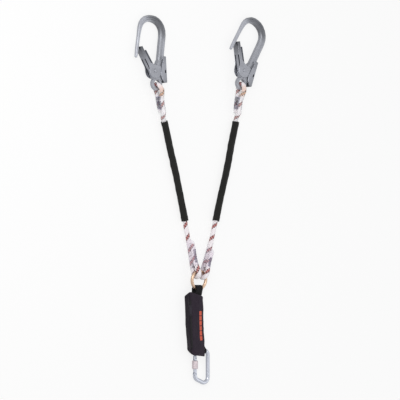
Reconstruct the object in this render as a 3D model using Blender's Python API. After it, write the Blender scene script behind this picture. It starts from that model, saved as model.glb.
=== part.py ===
import math

import bmesh
import bpy
import numpy as np
from mathutils import Matrix, Vector

# Sizes are in millimetres and become metres where a mesh is made.
MM = 0.001

# General clearance between neighbouring pieces
clearance = 0.3

# Where the whole object stands, so that its outline is centred on the origin
centre_shift_x = 10.27
centre_shift_y = -0.33

# Rope, sleeve and splice
rope_diameter = 12.4
rope_lie_gap = 0.3
sleeve_diameter = 17.6
sleeve_wall = 1.3
sleeve_top = 212.5
sleeve_bottom = -58.5
shrink_wall = 0.8
shrink_gap = 0.7
stitch_band_width = 5.2
upper_splice_length = 58.0

# Junction ring
ring_radius = 24.0
ring_wire = 8.5
ring_tilt_deg = 5.0
ring_slack = 1.6
ring_foot_x = -18.0
ring_foot_y = -240.0

# Hook forging, in the hook's own plane: a runs to the spine side, b away from the eye
body_thickness = 14.0
nose_thickness = 9.0
spine_width = 18.5
crown_width = 18.5
nose_width = 9.0
recess_depth = 2.4
rim_width = 5.0
eye_hole_diameter = 18.6
eye_bar_width = 9.3
eye_thickness = 11.0
eye_slack = 0.7
hook_reach = 171.5

# Hook gate, latch and palm lever, all folded from sheet
latch_sheet = 1.0
gate_sheet = 1.3
lever_sheet = 1.3
gate_length = 80.5
gate_angle_deg = 130.5
gate_web_offset = 13.2
gate_cheek_depth = 9.2
gate_ear_radius = 21.0
latch_length = 64.0
latch_reach = 2.8
gate_rivet_diameter = 7.0
gate_rivet_head = 11.0
rivet_head_height = 1.4
lever_rivet_diameter = 5.0
lever_rivet_head = 8.5

# Absorber pouch and its tear webbing
pouch_length = 160.0
pouch_width = 50.0
pouch_height = 28.0
pouch_corner = 7.0
pouch_wall = 1.6
pouch_yaw_deg = 2.7
pouch_x = -29.5
pouch_y = -334.0
mouth_depth = 30.0
corner_reach = 11.0
lower_slant = 7.0
webbing_thickness = 2.4
webbing_layers = 8
webbing_layer_gap = 0.35
pack_width = 34.0
pack_length = 102.0
pack_offset = 12.0
top_loop_width = 22.0
top_loop_length = 27.0
top_loop_slant = 0.31
bottom_loop_width = 18.0
bottom_loop_length = 27.0
bottom_loop_slant = 0.44

# Zip
zip_chain_width = 4.6
zip_chain_thickness = 1.6
zip_slider_length = 11.0
zip_slider_y = 46.5
zip_pull_length = 25.0
zip_pull_width = 6.4

# Carabiner
carabiner_wire = 11.0
carabiner_x = -4.0
carabiner_set_in = 8.3
gate_side_x = -21.0
spine_side_x = 22.0
carabiner_height = 87.0
gate_tube_diameter = 9.6
gate_hinge_y = -64.0
nose_end_y = -14.0
neck_length = 5.0
screw_sleeve_diameter = 16.2
screw_sleeve_length = 23.0
screw_sleeve_y = -39.0
carabiner_pin_diameter = 3.0
tongue_thickness = 4.4
latch_blade_thickness = 3.2


for leftover in list(bpy.data.objects):
    bpy.data.objects.remove(leftover, do_unlink=True)


def material(name, colour, metallic, roughness):
    made = bpy.data.materials.new(name)
    made.use_nodes = True
    shader = made.node_tree.nodes["Principled BSDF"]
    shader.inputs["Base Color"].default_value = (*colour, 1.0)
    shader.inputs["Metallic"].default_value = metallic
    shader.inputs["Roughness"].default_value = roughness
    made.diffuse_color = (*colour, 1.0)
    return made


def frame(name, place, yaw_deg=0.0, tilt_deg=0.0, parent=None):
    """An empty at a place in millimetres, turned about Z and then tilted about its own X."""
    empty = bpy.data.objects.new(name, None)
    bpy.context.collection.objects.link(empty)
    empty.empty_display_size = 0.02
    empty.parent = parent
    turn = Matrix.Rotation(math.radians(yaw_deg), 4, "Z") @ Matrix.Rotation(math.radians(tilt_deg), 4, "X")
    empty.matrix_local = Matrix.Translation(Vector(place) * MM) @ turn
    return empty


def finish(name, bm, parent, look, smooth_deg=35.0):
    """Turns a bmesh in millimetres into a named object under its parent."""
    bmesh.ops.recalc_face_normals(bm, faces=bm.faces)
    if bm.calc_volume(signed=True) < 0:
        bmesh.ops.reverse_faces(bm, faces=bm.faces)
    mesh = bpy.data.meshes.new(name)
    bm.to_mesh(mesh)
    bm.free()
    mesh.transform(Matrix.Scale(MM, 4))
    mesh.materials.append(look)
    mesh.shade_smooth()
    mesh.set_sharp_from_angle(angle=math.radians(smooth_deg))
    thing = bpy.data.objects.new(name, mesh)
    bpy.context.collection.objects.link(thing)
    thing.parent = parent
    return thing


def loft(rings, closed=False):
    """Skins a list of rings with the same number of points; a row that isn't closed gets end faces."""
    bm = bmesh.new()
    rows = [[bm.verts.new(point) for point in ring] for ring in rings]
    count = len(rows[0])
    pairs = list(zip(rows, rows[1:]))
    if closed:
        pairs.append((rows[-1], rows[0]))
    for low, high in pairs:
        for i in range(count):
            j = (i + 1) % count
            bm.faces.new((low[i], low[j], high[j], high[i]))
    if not closed:
        bm.faces.new(list(reversed(rows[0])))
        bm.faces.new(rows[-1])
    return bm


def prism(outline, low, high):
    """An outline of (x, y) points carried from z = low to z = high."""
    return loft([[(x, y, low) for x, y in outline], [(x, y, high) for x, y in outline]])


def turned(profile, segments, place=(0.0, 0.0, 0.0), axis="Z"):
    """Revolves a closed (radius, height) profile; a point on the axis becomes one shared vertex."""
    bm = bmesh.new()
    rows = []
    for radius, height in profile:
        if radius < 1e-6:
            rows.append([bm.verts.new((0.0, 0.0, height))])
            continue
        row = []
        for k in range(segments):
            turn = 2.0 * math.pi * k / segments
            row.append(bm.verts.new((radius * math.cos(turn), radius * math.sin(turn), height)))
        rows.append(row)
    for low, high in zip(rows, rows[1:] + rows[:1]):
        if len(low) == 1 and len(high) == 1:
            continue
        for k in range(segments):
            m = (k + 1) % segments
            corners = [low[k % len(low)], low[m % len(low)], high[m % len(high)], high[k % len(high)]]
            unique = []
            for corner in corners:
                if corner not in unique:
                    unique.append(corner)
            bm.faces.new(unique)
    if axis == "X":
        bmesh.ops.transform(bm, matrix=Matrix.Rotation(math.pi / 2, 4, "Y"), verts=bm.verts)
    if axis == "Y":
        bmesh.ops.transform(bm, matrix=Matrix.Rotation(-math.pi / 2, 4, "X"), verts=bm.verts)
    bmesh.ops.translate(bm, vec=Vector(place), verts=bm.verts)
    return bm


def rod(radius, low, high, chamfer, segments, place=(0.0, 0.0, 0.0), axis="Z"):
    profile = [(0.0, low), (radius - chamfer, low), (radius, low + chamfer)]
    profile += [(radius, high - chamfer), (radius - chamfer, high), (0.0, high)]
    return turned(profile, segments, place, axis)


def combine(target, bm, operation):
    """Joins a bmesh in millimetres to an object, or cuts it out, and keeps the result."""
    cutter = finish("cutter", bm, target.parent, target.data.materials[0])
    change = target.modifiers.new("combine", "BOOLEAN")
    change.operation = operation
    change.solver = "EXACT"
    change.object = cutter
    bpy.context.view_layer.update()
    graph = bpy.context.evaluated_depsgraph_get()
    result = bpy.data.meshes.new_from_object(target.evaluated_get(graph))
    target.modifiers.clear()
    old = target.data
    target.data = result
    result.name = old.name
    bpy.data.meshes.remove(old)
    spent = cutter.data
    bpy.data.objects.remove(cutter, do_unlink=True)
    bpy.data.meshes.remove(spent)
    target.data.shade_smooth()
    target.data.set_sharp_from_angle(angle=math.radians(35.0))


def arc(centre, radius, start_deg, end_deg, steps):
    """Points on an arc, both ends included."""
    points = []
    for k in range(steps + 1):
        turn = math.radians(start_deg + (end_deg - start_deg) * k / steps)
        points.append((centre[0] + radius * math.cos(turn), centre[1] + radius * math.sin(turn)))
    return points


def smooth_route(points, spacing):
    """Reads a centripetal Catmull-Rom curve through the points at an even spacing."""
    points = [np.array(p, float) for p in points]
    padded = [2 * points[0] - points[1]] + points + [2 * points[-1] - points[-2]]
    fine = []
    for p0, p1, p2, p3 in zip(padded, padded[1:], padded[2:], padded[3:]):
        knots = [0.0]
        for low, high in ((p0, p1), (p1, p2), (p2, p3)):
            knots.append(knots[-1] + math.sqrt(np.linalg.norm(high - low)))
        t0, t1, t2, t3 = knots
        for k in range(24):
            t = t1 + (t2 - t1) * k / 24
            a1 = (t1 - t) / (t1 - t0) * p0 + (t - t0) / (t1 - t0) * p1
            a2 = (t2 - t) / (t2 - t1) * p1 + (t - t1) / (t2 - t1) * p2
            a3 = (t3 - t) / (t3 - t2) * p2 + (t - t2) / (t3 - t2) * p3
            b1 = (t2 - t) / (t2 - t0) * a1 + (t - t0) / (t2 - t0) * a2
            b2 = (t3 - t) / (t3 - t1) * a2 + (t - t1) / (t3 - t1) * a3
            fine.append((t2 - t) / (t2 - t1) * b1 + (t - t1) / (t2 - t1) * b2)
    fine.append(points[-1])
    fine = np.array(fine)
    steps = np.linalg.norm(np.diff(fine, axis=0), axis=1)
    along = np.concatenate([[0.0], np.cumsum(steps)])
    count = max(2, int(round(along[-1] / spacing)) + 1)
    wanted = np.linspace(0.0, along[-1], count)
    return np.stack([np.interp(wanted, along, fine[:, i]) for i in range(3)], axis=1)


def directions(points):
    """Unit tangents of a row of points."""
    points = np.array(points, float)
    tangents = np.gradient(points, axis=0)
    return tangents / np.linalg.norm(tangents, axis=1)[:, None]


def tube(name, points, radius, parent, look, resolution=2):
    """A cord: a poly spline with a round bevel and filled caps, points in millimetres."""
    curve = bpy.data.curves.new(name, "CURVE")
    curve.dimensions = "3D"
    curve.twist_mode = "MINIMUM"
    curve.bevel_depth = radius * MM
    curve.bevel_resolution = resolution
    curve.use_fill_caps = True
    spline = curve.splines.new("POLY")
    spline.points.add(len(points) - 1)
    for place, point in zip(spline.points, points):
        place.co = (point[0] * MM, point[1] * MM, point[2] * MM, 1.0)
    spline.use_smooth = True
    curve.materials.append(look)
    thing = bpy.data.objects.new(name, curve)
    bpy.context.collection.objects.link(thing)
    thing.parent = parent
    return thing


forged = material("forged_aluminium", (0.40, 0.41, 0.44), 0.85, 0.42)
pressed = material("pressed_steel", (0.42, 0.43, 0.47), 0.80, 0.40)
dark_steel = material("dark_steel", (0.16, 0.17, 0.19), 0.80, 0.45)
zinc_yellow = material("yellow_zinc", (0.78, 0.56, 0.26), 0.90, 0.35)
bright_steel = material("bright_steel", (0.68, 0.69, 0.70), 0.95, 0.28)
knurled = material("knurled_sleeve", (0.62, 0.58, 0.60), 0.90, 0.45)
rope_white = material("kernmantle_rope", (0.86, 0.80, 0.80), 0.0, 0.80)
thread_violet = material("violet_thread", (0.24, 0.20, 0.32), 0.0, 0.75)
clear_shrink = material("clear_shrink", (0.82, 0.86, 0.87), 0.0, 0.25)
black_textile = material("black_textile", (0.03, 0.03, 0.03), 0.0, 0.85)
black_webbing = material("black_webbing", (0.025, 0.025, 0.03), 0.0, 0.75)
pouch_fabric = material("pouch_fabric", (0.05, 0.045, 0.06), 0.0, 0.70)
zip_plastic = material("zip_plastic", (0.02, 0.02, 0.025), 0.0, 0.50)
tear_webbing = material("tear_webbing", (0.70, 0.68, 0.62), 0.0, 0.80)

# Sizes of the hook that follow from the ones above
boss_thickness = body_thickness + 0.6
eye_hole_radius = eye_hole_diameter / 2
eye_outer_radius = eye_hole_radius + eye_bar_width
eye_bar_radius = eye_hole_radius + eye_bar_width / 2
latch_inner = boss_thickness / 2 + clearance
latch_outer = latch_inner + latch_sheet
gate_inner = latch_outer + clearance
gate_outer = gate_inner + gate_sheet
lever_inner = gate_outer + clearance
lever_outer = lever_inner + lever_sheet
gate_pivot = (-14.0, 33.0)
lever_pivot = (9.5, 62.0)
spine_middle = 4.0
boss_radius = gate_web_offset - gate_sheet - clearance - latch_sheet - 1.0
# The rope runs through the eye hole and round the eye bar, so the bar sits half a turn above the floor
rope_radius = rope_diameter / 2
eye_turn_radius = eye_thickness / 2 + eye_slack + rope_radius
rope_low = rope_radius + shrink_gap + shrink_wall + 0.1
eye_height = rope_low + eye_turn_radius
hook_rise = eye_height - body_thickness / 2 - 0.1
hook_tilt_deg = math.degrees(math.asin(hook_rise / (hook_reach + crown_width / 2)))

# Middle line of the hook's arm from the nose tip over the crown to the spine: place, share of full width
arm_line = [
    (-79.4, 59.0), (-79.0, 77.0), (-78.6, 94.0), (-78.0, 110.0), (-77.4, 124.0), (-76.6, 136.0),
    (-75.0, 147.0), (-70.4, 157.0), (-61.8, 165.4), (-50.6, 170.2), (-38.0, hook_reach), (-25.0, 170.0),
    (-13.0, 164.4), (-4.2, 156.0), (1.4, 146.0), (3.6, 134.0), (spine_middle, 120.0), (spine_middle, 96.0),
    (spine_middle, 72.0), (spine_middle, 52.0),
]


def arm_size(share):
    """Width, thickness and recess depth of the forging at a share of the way from nose to spine."""
    marks = [0.0, 0.05, 0.22, 0.32, 0.42, 0.52, 0.66, 1.0]
    widths = [nose_width - 2.5, nose_width - 0.6, nose_width, nose_width + 3.0, crown_width - 1.5]
    widths += [crown_width, spine_width, spine_width]
    middle = (nose_thickness + body_thickness) / 2
    thick = [nose_thickness - 2.0, nose_thickness - 0.5, nose_thickness, middle, body_thickness - 1.0]
    thick += [body_thickness - 0.5, body_thickness, body_thickness]
    depth = [0.15, 0.3, 0.8, 1.4, recess_depth, recess_depth, recess_depth, recess_depth]
    return [float(np.interp(share, marks, row)) for row in (widths, thick, depth)]


def arm_section(width, thickness, depth):
    """I-shaped section of the forging: across the arm, then along the hook's normal."""
    half = width / 2
    high = thickness / 2
    rim = min(rim_width, width * 0.28)
    edge = min(2.2, thickness * 0.2)
    inner = half - rim
    floor = max(inner - depth * 0.8, 0.3)
    quarter = [(half, high - edge), (half - edge, high), (inner, high), (floor, high - depth)]
    top = quarter + [(-u, v) for u, v in reversed(quarter)]
    return top + [(-u, -v) for u, v in top]


def hook_body(name, parent):
    line = smooth_route([(a, b, 0.0) for a, b in arm_line], 10.4)
    tangents = directions(line)
    lengths = np.concatenate([[0.0], np.cumsum(np.linalg.norm(np.diff(line, axis=0), axis=1))])
    rings = []
    for point, tangent, along in zip(line, tangents, lengths):
        across = np.array([tangent[1], -tangent[0], 0.0])
        section = arm_section(*arm_size(along / lengths[-1]))
        rings.append([tuple(point + across * u + np.array([0.0, 0.0, v])) for u, v in section])
    tip = np.array(rings[0]).mean(axis=0)
    cap = [tuple(tip + (np.array(p) - tip) * 0.6 - tangents[0] * 1.6) for p in rings[0]]
    body = finish(name, loft([cap] + rings), parent, forged)

    right = spine_middle + spine_width / 2 + 0.4
    left = spine_middle - spine_width / 2 - 0.2
    turn_out = gate_angle_deg + 96.0
    outline = [(right, lever_pivot[1] + 7.0), (lever_pivot[0] - 5.0, lever_pivot[1] + 7.0)]
    outline += [(lever_pivot[0] - 6.5, lever_pivot[1] + 2.0), (left, lever_pivot[1] + 2.0)]
    outline += arc(gate_pivot, boss_radius, 70.0, turn_out, 10)
    neck = eye_outer_radius - 0.8
    foot = eye_hole_radius + 1.2
    side = math.sqrt(eye_outer_radius**2 - foot**2)
    shoulder = eye_outer_radius - 1.0
    outline += [(-neck, shoulder), (-side, foot), (side, foot), (right, shoulder)]
    plate = prism(outline, -boss_thickness / 2, boss_thickness / 2)
    rim_edges = [e for e in plate.edges if abs(e.verts[0].co.z - e.verts[1].co.z) < 1e-6]
    bmesh.ops.bevel(plate, geom=rim_edges, offset=1.4, segments=1, profile=0.5, affect="EDGES")
    combine(body, plate, "UNION")

    flat = eye_thickness / 2
    fillet = 3.4
    corner = eye_bar_width / 2 - fillet
    section = []
    for cx, cz, start in ((1, -1, -90), (1, 1, 0), (-1, 1, 90), (-1, -1, 180)):
        place = (eye_bar_radius + cx * corner, cz * (flat - fillet))
        section += arc(place, fillet, start, start + 90, 2)
    combine(body, turned(section, 26), "UNION")

    bore = boss_thickness / 2 + 3.0
    for pivot, diameter in ((gate_pivot, gate_rivet_diameter), (lever_pivot, lever_rivet_diameter)):
        hole = diameter / 2 + clearance
        combine(body, rod(hole, -bore, bore, 0.2, 16, (*pivot, 0.0)), "DIFFERENCE")
    return body


def channel(name, parent, look, outline, cavity, inner, outer, tail=None, tail_half=0.0):
    """A folded sheet: an outline as thick as the fold, hollowed between its cheeks."""
    bm = prism(outline, -outer, outer)
    rim_edges = [e for e in bm.edges if abs(e.verts[0].co.z - e.verts[1].co.z) < 1e-6]
    bmesh.ops.bevel(bm, geom=rim_edges, offset=0.6, segments=1, profile=0.5, affect="EDGES")
    sheet = finish(name, bm, parent, look)
    combine(sheet, prism(cavity, -inner, inner), "DIFFERENCE")
    if tail:
        combine(sheet, prism(tail, -tail_half, tail_half), "UNION")
    return sheet


def rivet(name, parent, diameter, head, reach, look):
    """A headed rivet on the parent's axis, its heads just outside the outermost cheeks."""
    radius = diameter / 2
    inside = reach + clearance
    top = inside + rivet_head_height
    profile = [(0.0, -top), (head / 2 - 0.9, -top), (head / 2, -inside - 0.5), (head / 2, -inside)]
    profile += [(radius, -inside), (radius, inside), (head / 2, inside), (head / 2, inside + 0.5)]
    profile += [(head / 2 - 0.9, top), (0.0, top)]
    return finish(name, turned(profile, 12), parent, look)


def build_hook(side, place, yaw_deg):
    """One scaffold hook: its frame sits at the middle of the eye hole."""
    base = frame("hook_frame_" + side, (*place, eye_height), yaw_deg, -hook_tilt_deg)
    hook_body("hook_body_" + side, base)

    # The gate's own frame runs along the gate from its pivot, its web on the +Y side
    gate = frame("gate_frame_" + side, (*gate_pivot, 0.0), gate_angle_deg, 0.0, base)
    web = gate_web_offset
    edge = web - gate_cheek_depth + 0.2
    end = gate_length
    outline = [(end - 4.5, web), (end - 1.0, web - 3.0), (end + 3.0, web - 6.4), (end + 2.6, web - 8.0)]
    outline += [(end + 0.8, edge), (27.0, edge)]
    outline += [(22.0, -1.0), (18.6, -3.4), (13.2, -6.8), (9.4, -12.0), (5.6, -17.6), (1.2, -23.2)]
    outline += arc((0.0, 0.0), gate_ear_radius, -98.0, -296.0, 16)
    outline += [(16.0, 14.8), (22.0, web)]
    inside = web - gate_sheet
    slot_end = 44.0
    far = 120.0
    cavity = [(-60.0, -60.0), (far, -60.0), (far, inside), (slot_end, inside)]
    cavity += [(slot_end, 60.0), (-60.0, 60.0)]
    tail = [(0.5, inside + 0.05), (slot_end + 2.0, inside + 0.05)]
    tail += [(slot_end + 2.0, web - 0.05), (0.5, web - 0.05)]
    shell = channel("gate_" + side, gate, pressed, outline, cavity, gate_inner, gate_outer, tail, 4.5)
    hole = gate_rivet_diameter / 2 + clearance
    combine(shell, rod(hole, -20.0, 20.0, 0.2, 16), "DIFFERENCE")

    back = inside - clearance
    ear = boss_radius + 1.6
    outline = [(latch_length - 1.5, back), (latch_length, back - 2.5), (latch_length, 1.5 - latch_reach)]
    outline += [(latch_length - 1.5, -latch_reach), (16.0, -latch_reach)]
    outline += arc((0.0, 0.0), ear, -34.0, -286.0, 13)
    outline += [(9.0, back)]
    cavity = [(-60.0, -60.0), (far, -60.0), (far, back - latch_sheet), (9.0, back - latch_sheet)]
    cavity += [(9.0, 60.0), (-60.0, 60.0)]
    plate = channel("latch_plate_" + side, gate, dark_steel, outline, cavity, latch_inner, latch_outer)
    combine(plate, rod(hole, -20.0, 20.0, 0.2, 16), "DIFFERENCE")
    rivet("gate_rivet_" + side, gate, gate_rivet_diameter, gate_rivet_head, gate_outer, bright_steel)

    lever = frame("lever_frame_" + side, (*lever_pivot, 0.0), 0.0, 0.0, base)
    top = (6.2, 15.0)
    low = (19.5, -54.0)
    lean = (low[0] - top[0]) / (top[1] - low[1])
    outline = [top, low, (8.5, -56.0), (6.0, -53.0), (0.0, -46.0), (-4.0, -36.0), (-5.0, -21.0)]
    outline += [(-5.0, -9.0), (-4.0, -2.0), (-4.0, 13.6), (-2.4, 15.0)]
    fold = lever_sheet * math.sqrt(1.0 + lean**2)
    cavity = [(-80.0, 60.0), (top[0] - 45.0 * lean - fold, 60.0)]
    cavity += [(low[0] + 46.0 * lean - fold, -100.0), (-80.0, -100.0)]
    shell = channel("palm_lever_" + side, lever, pressed, outline, cavity, lever_inner, lever_outer)
    hole = lever_rivet_diameter / 2 + clearance
    combine(shell, rod(hole, -20.0, 20.0, 0.2, 14), "DIFFERENCE")
    slot = arc((9.2, -23.0), 2.0, 0.0, 180.0, 6) + arc((9.8, -28.0), 2.0, 180.0, 360.0, 6)
    combine(shell, prism(slot, 2.0, 20.0), "DIFFERENCE")
    rivet("lever_rivet_" + side, base, lever_rivet_diameter, lever_rivet_head, lever_outer, bright_steel)
    bpy.data.objects["lever_rivet_" + side].location = Vector((*lever_pivot, 0.0)) * MM
    return base


def attach(thing, parent):
    """Parents an object without moving it, so that its points stay where they are in the world."""
    bpy.context.view_layer.update()
    thing.parent = parent
    thing.matrix_parent_inverse = parent.matrix_world.inverted()


def cord_points(points, longest, turn_deg):
    """Thins a fine route: a point every longest millimetres, and closer where the cord bends.

    A bend as tight as one round a bar takes steps twice and a half as coarse.
    """
    fine = smooth_route(points, 1.5)
    kept = [fine[0]]
    gone = 0.0
    bent = 0.0
    for before, here, after in zip(fine, fine[1:], fine[2:]):
        into = here - before
        out = after - here
        gone += np.linalg.norm(into)
        cosine = np.dot(into, out) / (np.linalg.norm(into) * np.linalg.norm(out))
        angle = math.degrees(math.acos(max(-1.0, min(1.0, cosine))))
        bent += angle * 0.4 if angle > 3.4 else angle
        if (gone >= longest or bent >= turn_deg) and np.linalg.norm(fine[-1] - here) > 5.0:
            kept.append(here)
            gone = 0.0
            bent = 0.0
    kept.append(fine[-1])
    return np.array(kept)


def half_turn(middle, inward, radius):
    """The rope's bend round a bar: from under it, out on the inward side, to over it."""
    points = []
    for k in range(9):
        turn = math.radians(-90.0 + 180.0 * k / 8)
        side = radius * math.cos(turn)
        rise = radius * math.sin(turn)
        points.append((middle[0] + side * inward[0], middle[1] + side * inward[1], middle[2] + rise))
    return points


def along_plan(plan, heights):
    """Puts heights on a plan route: each (distance, height) mark is met at that distance from its start."""
    plan = smooth_route([(x, y, 0.0) for x, y in plan], 2.0)
    far = np.concatenate([[0.0], np.cumsum(np.linalg.norm(np.diff(plan, axis=0), axis=1))])
    wanted = [d for d, _ in heights if d <= far[-1]]
    return [(float(np.interp(d, far, plan[:, 0])), float(np.interp(d, far, plan[:, 1])), z)
            for (d, z) in heights if d in wanted]


def pair_stations(plan, start, end, count):
    """Places and sideways directions along a splice, between two distances from the bar."""
    fine = smooth_route([(x, y, 0.0) for x, y in plan], 1.0)
    far = np.concatenate([[0.0], np.cumsum(np.linalg.norm(np.diff(fine, axis=0), axis=1))])
    tangents = directions(fine)
    stations = []
    for d in np.linspace(start, end, count):
        spot = np.array([np.interp(d, far, fine[:, i]) for i in range(2)])
        heading = np.array([np.interp(d, far, tangents[:, i]) for i in range(2)])
        heading /= np.linalg.norm(heading)
        stations.append((spot, np.array([heading[1], -heading[0]])))
    return stations


def strands_at(points, spot, aside):
    """Where the lower and the upper strand pass a station: height, side offset, stretch by their slope."""
    heading = np.array([-aside[1], aside[0]])
    found = []
    for here, there in zip(points, points[1:]):
        start = np.dot(here[:2] - spot, heading)
        end = np.dot(there[:2] - spot, heading)
        if start * end > 0 or start == end:
            continue
        place = here + (there - here) * start / (start - end)
        offset = float(np.dot(place[:2] - spot, aside))
        if abs(offset) < rope_diameter:
            run = np.linalg.norm(there[:2] - here[:2])
            found.append((float(place[2]), offset, float(np.linalg.norm(there - here) / run)))
    found.sort()
    return found[0], found[-1]


def shrink_tube(name, parent, points, stations):
    """Clear tube over both strands of a splice: an oval ring at every station, inside and outside."""
    inner = rope_radius + shrink_gap
    outside = []
    inside = []
    for spot, aside in stations:
        low, high = strands_at(points, spot, aside)
        for radius, rings in ((inner + shrink_wall, outside), (inner, inside)):
            ring = []
            for k in range(12):
                turn = 2.0 * math.pi * (k + 0.5) / 12
                height, offset, stretch = high if math.sin(turn) > 0 else low
                across = offset + radius * math.cos(turn)
                place = spot + across * aside
                ring.append((place[0], place[1], height + radius * stretch * math.sin(turn)))
            rings.append(ring)
    thing = finish(name, loft(outside + inside[::-1], closed=True), None, clear_shrink)
    attach(thing, parent)


def stitch_strip(name, parent, points, stations, hand):
    """Thread filling the valley between the two strands on one side."""
    half = stitch_band_width / 2
    face = rope_radius - 0.3
    valley = [(face, half), (face, -half), (face - 0.9, 0.6 - half), (face - 2.7, -0.7), (face - 2.7, 0.7)]
    valley += [(face - 0.9, half - 0.6)]
    rings = []
    for spot, aside in stations:
        low, high = strands_at(points, spot, aside)
        middle = (low[0] + high[0]) / 2
        offset = (low[1] + high[1]) / 2
        ring = []
        for u, v in valley:
            place = spot + (offset + hand * u) * aside
            ring.append((place[0], place[1], middle + v))
        rings.append(ring if hand > 0 else ring[::-1])
    thing = finish(name, loft(rings), None, thread_violet)
    attach(thing, parent)


def sleeve_skin(name, parent, points):
    """Open textile sleeve round the rope: outer and inner rings square to the route."""
    tangents = directions(points)
    outside = []
    inside = []
    for point, heading in zip(points, tangents):
        aside = np.array([heading[1], -heading[0], 0.0])
        aside /= np.linalg.norm(aside)
        upward = np.cross(aside, heading)
        for radius, rings in ((sleeve_diameter / 2, outside), (sleeve_diameter / 2 - sleeve_wall, inside)):
            ring = []
            for k in range(12):
                turn = 2.0 * math.pi * (k + 0.5) / 12
                offset = radius * (math.cos(turn) * aside + math.sin(turn) * upward)
                ring.append(tuple(point + offset))
            rings.append(ring)
    thing = finish(name, loft(outside + inside[::-1], closed=True), None, black_textile)
    attach(thing, parent)


# The ring stands on its foot, the lowest point of the wire's middle, where the webbing holds it
everything = frame("lanyard_frame", (centre_shift_x, centre_shift_y, 0.0))
rise = math.sin(math.radians(ring_tilt_deg))
run = math.cos(math.radians(ring_tilt_deg))
ring_turn_radius = ring_wire / 2 + ring_slack + rope_radius
ring_foot = (ring_foot_x, ring_foot_y, rope_low + ring_turn_radius - 1.75 * ring_radius * rise)
ring_frame = frame("ring_frame", ring_foot, 0.0, ring_tilt_deg, everything)
wire_section = [(ring_radius + x, z) for x, z in arc((0.0, 0.0), ring_wire / 2, 0.0, 315.0, 7)]
finish("junction_ring", turned(wire_section, 28, (0.0, ring_radius, 0.0)), ring_frame, zinc_yellow)

ring_centre = (ring_foot[0], ring_foot[1] + ring_radius * run, ring_foot[2] + ring_radius * rise)
strand_step = rope_diameter + rope_lie_gap + 0.1
sleeve_line = sleeve_diameter / 2 + 0.1

# Each leg: where it crosses the ring wire, its plan from the ring to the sleeve, along the sleeve,
# and its plan from the eye bar to the sleeve
legs = {
    "left": {
        "hook": (-171.0, 312.7), "yaw": -10.5, "ring_angle": 120.0,
        "low_plan": [(-33.4, -177.0), (-37.8, -152.0), (-43.0, -127.0), (-48.8, -103.0), (-54.2, -82.0)],
        "sleeve": [(-60.4, -58.0), (-75.0, 0.0), (-89.0, 54.0), (-104.5, 108.0), (-120.5, 164.0),
                   (-134.0, 211.0)],
        "eye_aim": (0.49, -0.872),
        "high_plan": [(-159.2, 291.6), (-155.3, 281.0), (-152.2, 268.0), (-149.4, 254.0), (-146.4, 240.0)],
        "join": [(-142.4, 228.5), (-138.2, 219.5)], "low_tail": 79.0, "low_stitch": (27.0, 64.0),
    },
    "right": {
        "hook": (127.3, 315.6), "yaw": -34.3, "ring_angle": 48.0,
        "low_plan": [(4.6, -184.6), (12.0, -169.0), (20.0, -150.0), (28.0, -128.0), (35.2, -104.0),
                     (41.2, -81.0)],
        "sleeve": [(47.1, -57.0), (62.2, 0.0), (78.0, 54.0), (92.6, 108.0), (105.6, 163.0), (117.2, 208.0)],
        "eye_aim": (0.05, -0.999),
        "high_plan": [(128.3, 291.0), (126.6, 280.0), (124.2, 267.0), (121.8, 254.0), (120.2, 241.0)],
        "join": [(119.6, 230.0), (118.8, 219.0)], "low_tail": 62.0, "low_stitch": (18.0, 50.0),
    },
}


def strand_heights(start_gap, steps):
    """Heights over the lower strand of the upper one as it comes in from a bar of that half gap."""
    return [(d, rope_low + strand_step + (2 * start_gap - strand_step) * share) for d, share in steps]


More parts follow.
